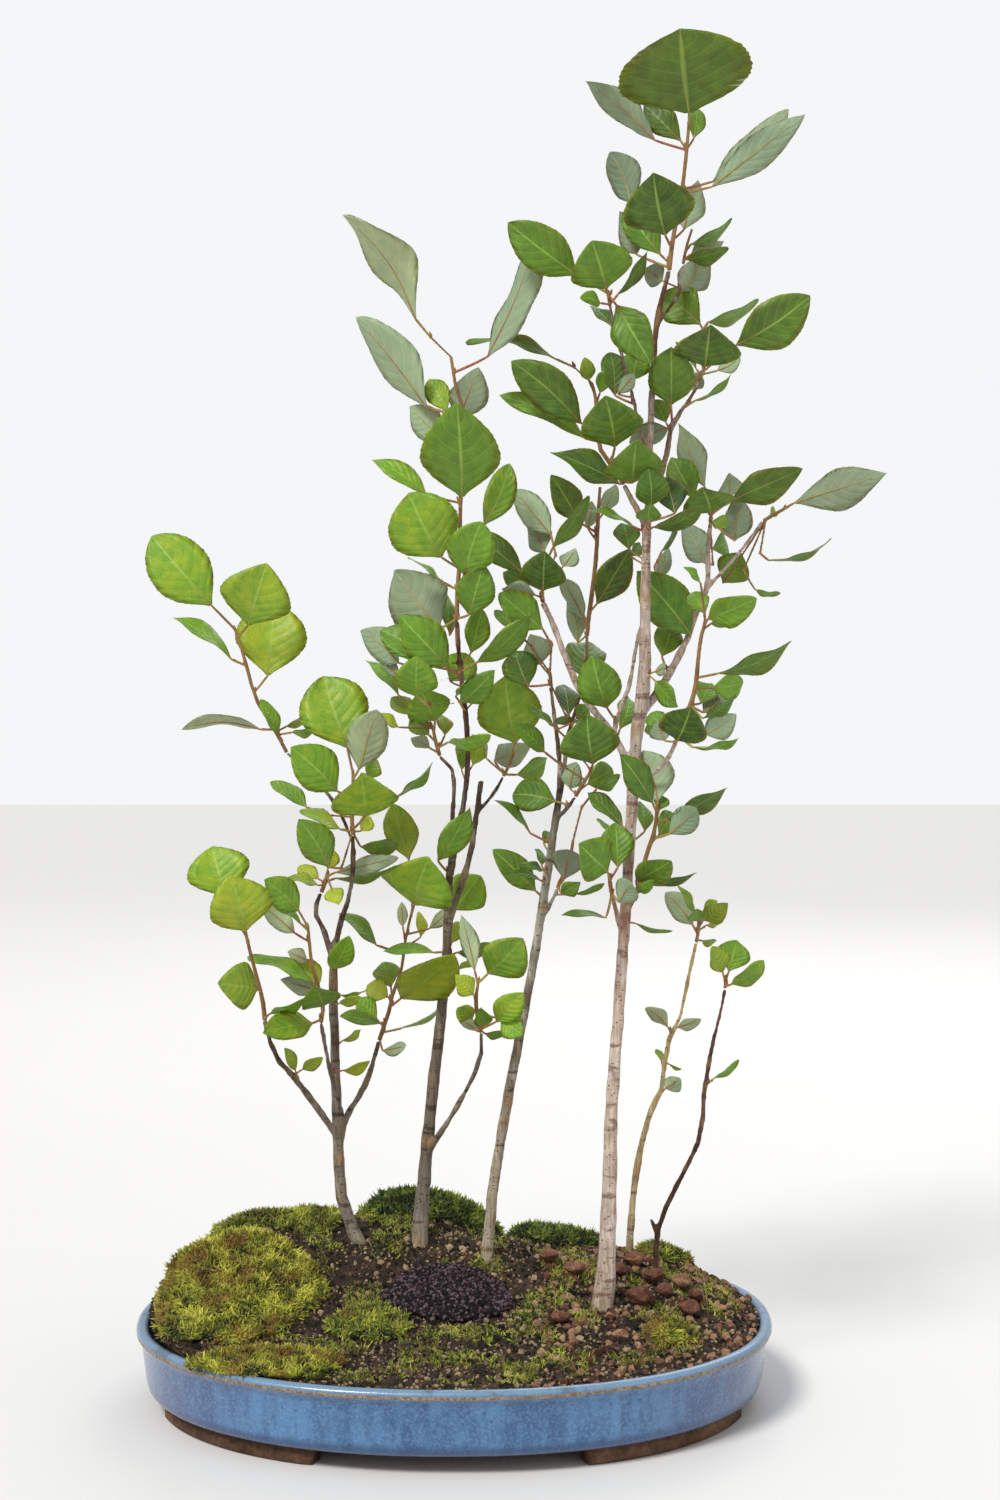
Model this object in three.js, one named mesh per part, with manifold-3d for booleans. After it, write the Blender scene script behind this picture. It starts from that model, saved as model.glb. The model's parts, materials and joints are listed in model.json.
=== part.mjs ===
// A grove of six rooted poplar cuttings in a shallow oval bonsai tray.
// Millimetres, +Z up. The model is drawn with the tray's centre over x = 0, y = 0 and the
// table at z = 0; the exported group is shifted at the end so that its origin is the
// bottom centre of the whole part.

import * as THREE from "three";
import { mergeVertices } from "three/addons/utils/BufferGeometryUtils.js";
import Module from "manifold-3d";

const wasm = await Module();
wasm.setup();

// ---------------------------------------------------------------- driving dimensions

const TRAY_HALF_LENGTH = 157.3; // rim, outside, along X
const TRAY_HALF_DEPTH = 119; // rim, outside, along Y
const TRAY_RIM_HEIGHT = 40; // table to rim
const TRAY_ROUNDNESS = 2.15; // 2 is an ellipse, more is squarer
const TRAY_WALL = 6;
const TRAY_FLOOR = 6;
const TRAY_SHELL_BASE = 8; // underside of the bowl above the table
const RIM_LIP = 2.2; // how far the rim bead stands out
const WALL_TUCK = 5; // how far the wall pulls in at its foot
const TRAY_FACETS = 40;

const FOOT_INSET = 10.5; // feet stand this far inside the rim outline
const FOOT_THICKNESS = 10;
const FOOT_SPAN = [0.2, 0.735]; // share of a quarter turn that one foot covers
const FOOT_FACETS = 7;

const DRAIN_RADIUS = 13;
const DRAIN_OFFSET = 72; // drain holes left and right of the centre
const SCREEN_SIDE = 38;
const SCREEN_THICKNESS = 1.2;
const SCREEN_HOLES = 2; // along one side
const SCREEN_HOLE_SIDE = 10;
const SCREEN_PITCH = 15;

const SOIL_EDGE_DROP = 2.5; // soil level at the wall, under the rim
const SOIL_CLEARANCE = 0.35; // soil to tray, and soil to screens
const SOIL_SHOULDER = 0.065; // share of the tray over which the mound rises from its edge
const SOIL_RINGS = 7;
const SOIL_FACETS = 32;
const UPHILL = 0.97; // what lies on the soil also clears it a little nearer the middle
const BEDDING = 1.3; // gap under moss, grit and clay lumps, which lie on the soil

const STEM_CLEARANCE = 0.35; // a stem in its hole in the soil
const GRAFT_GAP = 0.4; // a young shoot and the old wood it grows on
const GRAFT_STEP = 0.4;
const GRAFT_REACH = 12; // no shoot starts further up its route than this

const GROVE_HEIGHT = 640; // soil line to the highest leaf
const DRAWN_HEIGHT = 640; // height at which the routes below are written down
const SOIL_LINE = 42;
const DEPTH_SPREAD = 1.5; // how far branches fan out to the front and back
const LEAF_SPREAD = 1.6; // how far leaves lean to the front and back
const VIEW_DISTANCE = 1000; // routes are laid out on a sheet seen from this far in front
const VIEW_X = 22.5;
const VIEW_HEIGHT = 342;
const SHEET_FOOT = -3; // height at which the sheet's own heights start

const LEAF_THICKNESS = 0.8;
const LEAF_FOLD = 0.22; // rise of the blade's edges, as a share of their reach
const LEAF_ARCH = 0.05; // bow of the midrib, as a share of the blade's length
const BLADE_WIDEST = 0.43; // share of the blade's length at its widest place
const BLADE_FAR = 0.78; // share of the blade's length where it starts to run to a point
const BLADE_TAPER = 0.78; // half width there, as a share of the widest
const BLADE_BREADTH = 1.1; // full width as a share of the width written down
const BLADE_RIB = 0.46; // share of the blade's length where the midrib bows most
const PETIOLE_RADIUS = 0.7;
const LONG_PETIOLE = 20; // from here on a petiole has a bend in its middle
const PETIOLE_TRAIL = 6; // a petiole leaves its shoot about this far behind the blade
const TOUCH = 0.002; // mm3 of common volume that counts as touching

// ---------------------------------------------------------------- solids

// A closed three.js geometry as a manifold-3d solid.
function solidOf(geometry) {
  const bare = geometry.clone();
  bare.deleteAttribute("normal");
  bare.deleteAttribute("uv");
  const merged = mergeVertices(bare, 1e-4);
  return new wasm.Manifold(
    new wasm.Mesh({
      numProp: 3,
      vertProperties: merged.attributes.position.array,
      triVerts: new Uint32Array(merged.index.array),
    }),
  );
}

// A manifold-3d solid as a three.js geometry.
function geometryOf(solid) {
  const mesh = solid.getMesh();
  const positions = new Float32Array(mesh.numVert * 3);
  for (let i = 0; i < mesh.numVert; i += 1) {
    positions.set(mesh.vertProperties.subarray(i * mesh.numProp, i * mesh.numProp + 3), i * 3);
  }
  const geometry = new THREE.BufferGeometry();
  geometry.setAttribute("position", new THREE.BufferAttribute(positions, 3));
  geometry.setIndex(new THREE.BufferAttribute(mesh.triVerts, 1));
  geometry.computeVertexNormals();
  return geometry;
}

// A closed solid from its corner points and the triangles between them.
function solidFromFaces(points, faces) {
  const geometry = new THREE.BufferGeometry();
  geometry.setAttribute(
    "position",
    new THREE.Float32BufferAttribute(points.flatMap((p) => p.toArray()), 3),
  );
  geometry.setIndex(faces.flat());
  return solidOf(geometry);
}

function unite(solids) {
  return solids.reduce((whole, piece) => whole.add(piece));
}

function touches(a, b) {
  return a.intersect(b).volume() > TOUCH;
}

function finish(name, colour, roughness, solid) {
  const material = new THREE.MeshStandardMaterial({ color: colour, roughness, metalness: 0 });
  const mesh = new THREE.Mesh(geometryOf(solid), material);
  mesh.name = name;
  return mesh;
}

// ---------------------------------------------------------------- the oval outline

// Signed power that turns a circle's cosine or sine into the oval's.
function squared(value) {
  return Math.sign(value) * Math.abs(value) ** (2 / TRAY_ROUNDNESS);
}

// The point of the outline at an angle, moved in by an inset.
function ovalPoint(angle, inset) {
  return new THREE.Vector2(
    (TRAY_HALF_LENGTH - inset) * squared(Math.cos(angle)),
    (TRAY_HALF_DEPTH - inset) * squared(Math.sin(angle)),
  );
}

// 0 at the tray's centre, 1 on the outline moved in by an inset.
function ovalShare(x, y, inset) {
  const along = Math.abs(x / (TRAY_HALF_LENGTH - inset)) ** TRAY_ROUNDNESS;
  const across = Math.abs(y / (TRAY_HALF_DEPTH - inset)) ** TRAY_ROUNDNESS;
  return (along + across) ** (1 / TRAY_ROUNDNESS);
}

// Turns a round lathe shape, whose radii run up to the half length, into the oval.
function ovalise(geometry) {
  const middle = TRAY_HALF_LENGTH / 2;
  const place = geometry.attributes.position;
  for (let i = 0; i < place.count; i += 1) {
    const radius = Math.hypot(place.getX(i), place.getZ(i));
    const angle = Math.atan2(-place.getZ(i), place.getX(i));
    const inset = TRAY_HALF_LENGTH - radius;
    const inner = (radius * (TRAY_HALF_DEPTH - middle)) / middle;
    const depth = radius > middle ? TRAY_HALF_DEPTH - inset : inner;
    const height = place.getY(i);
    place.setXYZ(i, radius * squared(Math.cos(angle)), depth * squared(Math.sin(angle)), height);
  }
  return geometry;
}

function lathe(profile, facets) {
  const points = profile.map(([radius, height]) => new THREE.Vector2(Math.max(radius, 0), height));
  return ovalise(new THREE.LatheGeometry(points, facets));
}

// ---------------------------------------------------------------- tray

function trayBowl() {
  const edge = TRAY_HALF_LENGTH;
  const top = TRAY_RIM_HEIGHT;
  const base = TRAY_SHELL_BASE;
  const inner = edge - TRAY_WALL;
  return solidOf(
    lathe(
      [
        [0, base],
        [edge - WALL_TUCK - 5, base],
        [edge - WALL_TUCK - 1.2, base + 1.2],
        [edge - WALL_TUCK, base + 4],
        [edge - RIM_LIP - 1.6, base + 14],
        [edge - RIM_LIP - 0.6, top - 8],
        [edge - RIM_LIP, top - 4.5],
        [edge, top - 2.8],
        [edge - 0.8, top - 0.7],
        [edge - 3, top],
        [inner, top - 1],
        [inner - 1.5, top - 10],
        [inner - 6, base + TRAY_FLOOR + 3],
        [inner - 11, base + TRAY_FLOOR],
        [0, base + TRAY_FLOOR],
      ],
      TRAY_FACETS,
    ),
  );
}

// One foot: a curved bar that follows the outline of a quarter of the tray.
function trayFoot(quarter) {
  const shape = new THREE.Shape();
  const turn = Math.PI / 2;
  const mirrored = quarter % 2 === 1;
  const [low, high] = mirrored ? FOOT_SPAN.map((share) => 1 - share).reverse() : FOOT_SPAN;
  const bearing = (step) => turn * (quarter + low + ((high - low) * step) / FOOT_FACETS);
  const steps = [...Array(FOOT_FACETS + 1).keys()];
  const outside = steps.map((step) => ovalPoint(bearing(step), FOOT_INSET));
  const inside = steps.map((step) => ovalPoint(bearing(step), FOOT_INSET + FOOT_THICKNESS));
  shape.setFromPoints([...outside, ...inside.reverse()]);
  return solidOf(
    new THREE.ExtrudeGeometry(shape, { depth: TRAY_SHELL_BASE + 1, bevelEnabled: false }),
  );
}

function drainAt(x) {
  const drill = new THREE.CylinderGeometry(DRAIN_RADIUS, DRAIN_RADIUS, 40, 24);
  drill.rotateX(Math.PI / 2);
  drill.translate(x, 0, TRAY_SHELL_BASE);
  return solidOf(drill);
}

function tray() {
  const feet = [0, 1, 2, 3].map(trayFoot);
  const drains = unite([drainAt(-DRAIN_OFFSET), drainAt(DRAIN_OFFSET)]);
  return unite([trayBowl(), ...feet]).subtract(drains);
}

// A square of plastic netting that keeps the soil in over a drain hole.
function drainPlate(x, grow) {
  const side = SCREEN_SIDE + 2 * grow;
  const plate = new THREE.BoxGeometry(side, side, SCREEN_THICKNESS + 2 * grow);
  plate.translate(x, 0, TRAY_SHELL_BASE + TRAY_FLOOR + SOIL_CLEARANCE + SCREEN_THICKNESS / 2);
  return solidOf(plate);
}

function drainScreen(x) {
  const first = (-(SCREEN_HOLES - 1) * SCREEN_PITCH) / 2;
  let screen = drainPlate(x, 0);
  for (let i = 0; i < SCREEN_HOLES * SCREEN_HOLES; i += 1) {
    const hole = new THREE.BoxGeometry(SCREEN_HOLE_SIDE, SCREEN_HOLE_SIDE, 60);
    const column = i % SCREEN_HOLES;
    const row = Math.floor(i / SCREEN_HOLES);
    hole.translate(x + first + column * SCREEN_PITCH, first + row * SCREEN_PITCH, 0);
    screen = screen.subtract(solidOf(hole));
  }
  return screen;
}

// ---------------------------------------------------------------- soil

// The mound is a sum of soft hills: centre x and y, reach along x and y, height.
const HILLS = [
  { x: -45, y: 42, along: 75, across: 65, height: 33 },
  { x: 5, y: 25, along: 55, across: 60, height: 12 },
  { x: -118, y: 8, along: 44, across: 52, height: 27 },
  { x: 90, y: 25, along: 55, across: 70, height: 18 },
];

function soilHeight(x, y) {
  const share = ovalShare(x, y, TRAY_WALL + SOIL_CLEARANCE);
  const rise = THREE.MathUtils.smoothstep(1 - share, 0, SOIL_SHOULDER * 1.3);
  const mound = HILLS.reduce((sum, hill) => {
    const dx = (x - hill.x) / hill.along;
    const dy = (y - hill.y) / hill.across;
    return sum + hill.height * Math.exp(-dx * dx - dy * dy);
  }, 0);
  return TRAY_RIM_HEIGHT - SOIL_EDGE_DROP + rise * mound;
}

// Lifts the upper face of an oval lathe shape onto the soil's surface.
function soilMound(stemHoles) {
  const wall = TRAY_HALF_LENGTH - TRAY_WALL - SOIL_CLEARANCE;
  const top = TRAY_RIM_HEIGHT - SOIL_EDGE_DROP;
  const floor = TRAY_SHELL_BASE + TRAY_FLOOR + SOIL_CLEARANCE;
  const profile = [
    [0, floor],
    [wall - 12, floor],
    [wall - 6.6, floor + 3.6],
    [wall - 2.2, top - 8],
    [wall - 1, top],
  ];
  for (let ring = 1; ring <= SOIL_RINGS; ring += 1) {
    const share = 1 - (ring / SOIL_RINGS) ** 1.25;
    profile.push([(wall - 1) * share, top + 1]);
  }
  const body = lathe(profile, SOIL_FACETS);
  const place = body.attributes.position;
  for (let i = 0; i < place.count; i += 1) {
    if (place.getZ(i) > top + 0.5) {
      place.setZ(i, soilHeight(place.getX(i), place.getY(i)));
    }
  }
  const screens = [-DRAIN_OFFSET, DRAIN_OFFSET].map((x) => drainPlate(x, SOIL_CLEARANCE));
  return solidOf(body).subtract(unite([...screens, ...stemHoles]));
}

// A mat of moss or a heap of grit: a low cushion whose underside follows the soil.
// Where it leans out over the tray's wall it clears the rim instead.
function cushion({ x, y, along, across, height, wave = 0, facets = 13, rings = 3 }) {
  const points = [];
  const faces = [];
  const under = (px, py) => {
    const overWall = ovalShare(px, py, TRAY_WALL + 4) > 1;
    const inward = soilHeight(px * UPHILL, py * UPHILL);
    const ground = Math.max(soilHeight(px, py), inward);
    return (overWall ? Math.max(ground, TRAY_RIM_HEIGHT) : ground) + BEDDING;
  };
  const add = (px, py, lift) => points.push(new THREE.Vector3(px, py, under(px, py) + lift));
  add(x, y, height);
  add(x, y, 0);
  for (let ring = 1; ring <= rings; ring += 1) {
    for (let side = 0; side < facets; side += 1) {
      const angle = (2 * Math.PI * side) / facets;
      const ragged = 1 + wave * Math.sin(3 * angle + x) + wave * 0.6 * Math.sin(5 * angle + y);
      const share = (ring / rings) * ragged;
      const px = x + along * share * Math.cos(angle);
      const py = y + across * share * Math.sin(angle);
      const lift = ring === rings ? 0.5 : height * Math.sqrt(1 - (ring / rings) ** 2);
      add(px, py, lift);
      add(px, py, 0);
    }
  }
  const at = (ring, side, lower) => 2 + ((ring - 1) * facets + (side % facets)) * 2 + lower;
  for (let side = 0; side < facets; side += 1) {
    faces.push([0, at(1, side, 0), at(1, side + 1, 0)]);
    faces.push([1, at(1, side + 1, 1), at(1, side, 1)]);
    for (let ring = 1; ring < rings; ring += 1) {
      faces.push([at(ring, side, 0), at(ring + 1, side, 0), at(ring + 1, side + 1, 0)]);
      faces.push([at(ring, side, 0), at(ring + 1, side + 1, 0), at(ring, side + 1, 0)]);
      faces.push([at(ring, side, 1), at(ring + 1, side + 1, 1), at(ring + 1, side, 1)]);
      faces.push([at(ring, side, 1), at(ring, side + 1, 1), at(ring + 1, side + 1, 1)]);
    }
    faces.push([at(rings, side, 0), at(rings, side, 1), at(rings, side + 1, 1)]);
    faces.push([at(rings, side, 0), at(rings, side + 1, 1), at(rings, side + 1, 0)]);
  }
  return solidFromFaces(points, faces);
}

const MOSS = [
  { name: "moss_cushion_left", x: -106, y: -24, along: 43, across: 38, height: 5, wave: 0.06 },
  { name: "moss_cushion_front_left", x: -83, y: -83, along: 37, across: 15, height: 5, wave: 0.07 },
  { name: "moss_bank_left", x: -90, y: 43, along: 37, across: 25, height: 5, wave: 0.05 },
  { name: "moss_bank_back", x: -14, y: 64, along: 38, across: 26, height: 12, wave: 0.05 },
  { name: "moss_bank_right", x: 52, y: 72, along: 27, across: 19, height: 8, wave: 0.06 },
  { name: "moss_patch_front", x: -40, y: -44, along: 21, across: 13, height: 4, wave: 0.07 },
  { name: "moss_tuft_right", x: 103, y: -52, along: 14, across: 10, height: 5, wave: 0.07 },
  { name: "moss_tuft_back", x: 108, y: 47, along: 15, across: 11, height: 5, wave: 0.07 },
];

const GRIT_HEAP = { x: -2, y: -22, along: 32, across: 19, height: 6, wave: 0.04 };

// ---------------------------------------------------------------- clay lumps

const CLAY_LUMPS = [
  { x: 90, y: -25, size: 5.6 },
  { x: 113, y: -2, size: 4.2 },
  { x: 119, y: -13, size: 3.6 },
  { x: 103, y: -14, size: 3.8 },
  { x: 60, y: 2, size: 4.6 },
  { x: 91, y: 17, size: 4.6 },
  { x: 100, y: -2, size: 4.4 },
  { x: 83, y: 4, size: 3.8 },
  { x: 114, y: -30, size: 4.6 },
  { x: 47, y: 14, size: 4.2 },
  { x: 51, y: -39, size: 3.6 },
];

// A broken lump of baked clay: a coarse ball whose corners are pushed in and out.
function clayLump({ x, y, size }, index) {
  const ball = new THREE.IcosahedronGeometry(size, 1);
  const place = ball.attributes.position;
  const corner = new THREE.Vector3();
  for (let i = 0; i < place.count; i += 1) {
    corner.fromBufferAttribute(place, i);
    const dent = Math.sin(corner.x * 1.3 + index) + Math.sin(corner.y * 1.7 - index);
    corner.multiplyScalar(1 + 0.09 * dent + 0.05 * Math.sin(corner.z * 2.1));
    place.setXYZ(i, corner.x * 1.15, corner.y, corner.z * 0.78);
  }
  ball.computeBoundingBox();
  const reach = [-1, 0, 1].flatMap((i) => [-1, 0, 1].map((j) => [x + i * size, y + j * size]));
  const ground = Math.max(...reach.map(([px, py]) => soilHeight(px, py)));
  ball.translate(x, y, ground + BEDDING - ball.boundingBox.min.z);
  return solidOf(ball);
}

// ---------------------------------------------------------------- routes of the plants

// Routes are written on an upright sheet through the tray's centre, as seen from the
// viewing point: x and height on the sheet, then depth. The depth slides a point along
// its line to the viewing point, so that the grove looks the same from the front
// whatever its depth.
function place(x, height, depth) {
  const stretch = GROVE_HEIGHT / DRAWN_HEIGHT;
  const level = height + SHEET_FOOT;
  const grown = level > SOIL_LINE ? SOIL_LINE + (level - SOIL_LINE) * stretch : level;
  const scale = 1 + depth / VIEW_DISTANCE;
  return new THREE.Vector3(
    VIEW_X + (x - VIEW_X) * scale,
    depth,
    VIEW_HEIGHT + (grown - VIEW_HEIGHT) * scale,
  );
}

// A route's points, with their depth fanned out from the depth of the trunk.
function routePoints(route, trunkDepth) {
  return route.map(([x, height, depth, radius]) => {
    const fanned = trunkDepth + (depth - trunkDepth) * DEPTH_SPREAD;
    return { spot: place(x, height, fanned), radius, sheet: [x, height, fanned] };
  });
}

// A limb of wood: a cylinder bent along its route, its radius eased from point to point.
function limb(points, { sides, steps, extra = 0, from = 0 }) {
  const curve = new THREE.CatmullRomCurve3(points.map((point) => point.spot), false, "centripetal");
  const rod = new THREE.CylinderGeometry(1, 1, 1, sides, steps);
  const length = curve.getLength();
  const start = from / length;
  const place3 = rod.attributes.position;
  const across = new THREE.Vector3();
  const beside = new THREE.Vector3();
  const depthAxis = new THREE.Vector3(0, 1, 0);
  for (let i = 0; i < place3.count; i += 1) {
    const t = start + (1 - start) * (place3.getY(i) + 0.5);
    const along = curve.getTangentAt(t);
    across.copy(depthAxis).addScaledVector(along, -along.y).normalize();
    beside.crossVectors(across, along);
    const whole = curve.getUtoTmapping(t) * (points.length - 1);
    const low = Math.min(Math.floor(whole), points.length - 2);
    const radius =
      THREE.MathUtils.lerp(points[low].radius, points[low + 1].radius, whole - low) + extra;
    const spot = curve.getPointAt(t);
    spot.addScaledVector(across, place3.getX(i) * radius);
    spot.addScaledVector(beside, place3.getZ(i) * radius);
    place3.setXYZ(i, spot.x, spot.y, spot.z);
  }
  return solidOf(rod);
}

// ---------------------------------------------------------------- leaves

// A leaf is written as [base x, base height, tip x, tip height, lean, turn, width]:
// the blade's two ends on the sheet, how much further back its tip is than its base, its
// turn in degrees about its own length (0 shows the upper face, 90 the edge, 180 the
// underside) and its full width.
function leafFrame(leaf, foot, slide) {
  const [baseX, baseHeight, tipX, tipHeight, lean, turn, width] = leaf;
  const back = foot.sheet[2] + lean * LEAF_SPREAD * 0.6 + slide;
  const base = place(baseX, baseHeight, back);
  const tip = place(tipX, tipHeight, back + lean * LEAF_SPREAD + slide * 0.4);
  const along = tip.clone().sub(base);
  const length = along.length();
  along.normalize();
  const sight = new THREE.Vector3(VIEW_X, -VIEW_DISTANCE, VIEW_HEIGHT).sub(base).normalize();
  const up = sight.addScaledVector(along, -sight.dot(along)).normalize();
  up.applyAxisAngle(along, THREE.MathUtils.degToRad(turn));
  const side = new THREE.Vector3().crossVectors(along, up);
  return { base, along, length, up, side, width: width * BLADE_BREADTH, foot: foot.spot };
}

// Point of a leaf's own frame: share of its length, sideways and upwards distances.
function onLeaf(frame, share, sideways, upwards) {
  return frame.base
    .clone()
    .addScaledVector(frame.along, share * frame.length)
    .addScaledVector(frame.side, sideways)
    .addScaledVector(frame.up, upwards);
}

// Three corners of the petiole around a point, in the order left, top, right.
function petioleCorners(frame, centre, heading) {
  const swing = new THREE.Quaternion().setFromUnitVectors(frame.along, heading);
  const side = frame.side.clone().applyQuaternion(swing).multiplyScalar(PETIOLE_RADIUS);
  const up = frame.up.clone().applyQuaternion(swing).multiplyScalar(PETIOLE_RADIUS);
  const low = centre.clone().addScaledVector(up, -0.5);
  return [low.clone().sub(side), centre.clone().add(up), low.clone().add(side)];
}

// One leaf: a petiole from its foot on the shoot, then an ovate-rhombic blade folded a
// little along its midrib. `from` leaves out the first share of the petiole.
function leafSolid(frame, from = 0) {
  const reach = frame.base.distanceTo(frame.foot);
  const bend = frame.base.clone().addScaledVector(frame.along, -0.4 * reach);
  const petiole = new THREE.QuadraticBezierCurve3(frame.foot, bend, frame.base);
  const stations = reach > LONG_PETIOLE ? [from, (1 + from) / 2] : [from];
  const points = stations.flatMap((t) =>
    petioleCorners(frame, petiole.getPoint(t), petiole.getTangent(t)),
  );
  points.push(...petioleCorners(frame, frame.base, frame.along));
  const last = stations.length * 3;
  const half = frame.width / 2;
  const far = half * BLADE_TAPER;
  const bow = LEAF_ARCH * frame.length;
  const rib = LEAF_THICKNESS / 2;
  const rimWide = bow + LEAF_FOLD * half;
  const rimFar = bow / 2 + LEAF_FOLD * far;
  points.push(
    onLeaf(frame, BLADE_WIDEST, -half, rimWide),
    onLeaf(frame, BLADE_FAR, -far, rimFar),
    onLeaf(frame, 1, 0, 0),
    onLeaf(frame, BLADE_FAR, far, rimFar),
    onLeaf(frame, BLADE_WIDEST, half, rimWide),
    onLeaf(frame, BLADE_RIB, 0, bow + rib),
    onLeaf(frame, BLADE_RIB, 0, bow - rib),
  );
  const [left, top, right] = [last, last + 1, last + 2];
  const rim = [3, 4, 5, 6, 7].map((i) => last + i);
  const above = last + 8;
  const below = last + 9;
  const upper = [left, ...rim, right, top];
  const lower = [left, ...rim, right];
  const faces = [
    ...upper.map((corner, i) => [corner, upper[(i + 1) % upper.length], above].reverse()),
    ...lower.map((corner, i) => [corner, lower[(i + 1) % lower.length], below]),
    [0, 2, 1],
  ];
  for (let ring = 0; ring < stations.length; ring += 1) {
    for (let corner = 0; corner < 3; corner += 1) {
      const near = ring * 3 + corner;
      const beside = ring * 3 + ((corner + 1) % 3);
      faces.push([near, beside, beside + 3], [near, beside + 3, near + 3]);
    }
  }
  return solidFromFaces(points, faces);
}

// The spot on a plant's limbs, as drawn on the sheet, nearest to where a leaf's petiole
// would start, and no nearer to the root end of a limb than its gap.
function footOn(limbs, gap, leaf) {
  const [baseX, baseHeight, tipX, tipHeight] = leaf;
  const away = new THREE.Vector2(tipX - baseX, tipHeight - baseHeight).setLength(PETIOLE_TRAIL);
  const target = new THREE.Vector2(baseX, baseHeight).sub(away);
  let best = null;
  for (const points of limbs) {
    for (let i = 0; i + 1 < points.length; i += 1) {
      for (let step = 0; step <= 10; step += 1) {
        const t = step / 10;
        const mix = (k) => THREE.MathUtils.lerp(points[i].sheet[k], points[i + 1].sheet[k], t);
        const sheet = [mix(0), mix(1), mix(2)];
        const spot = place(...sheet);
        const miss = Math.hypot(sheet[0] - target.x, sheet[1] - target.y);
        const clear = gap === 0 || spot.distanceTo(points[0].spot) > gap + PETIOLE_RADIUS;
        if (clear && (!best || miss < best.miss)) {
          best = { miss, sheet, spot };
        }
      }
    }
  }
  return best;
}

// ---------------------------------------------------------------- the six cuttings
// Wood routes are lists of [x, height, depth, radius]. The first route of a plant is its
// trunk; the others start inside the wood that they branch from. `leaves` grow straight
// from the wood. A shoot is this year's growth: its own route and its own leaves.

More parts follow.
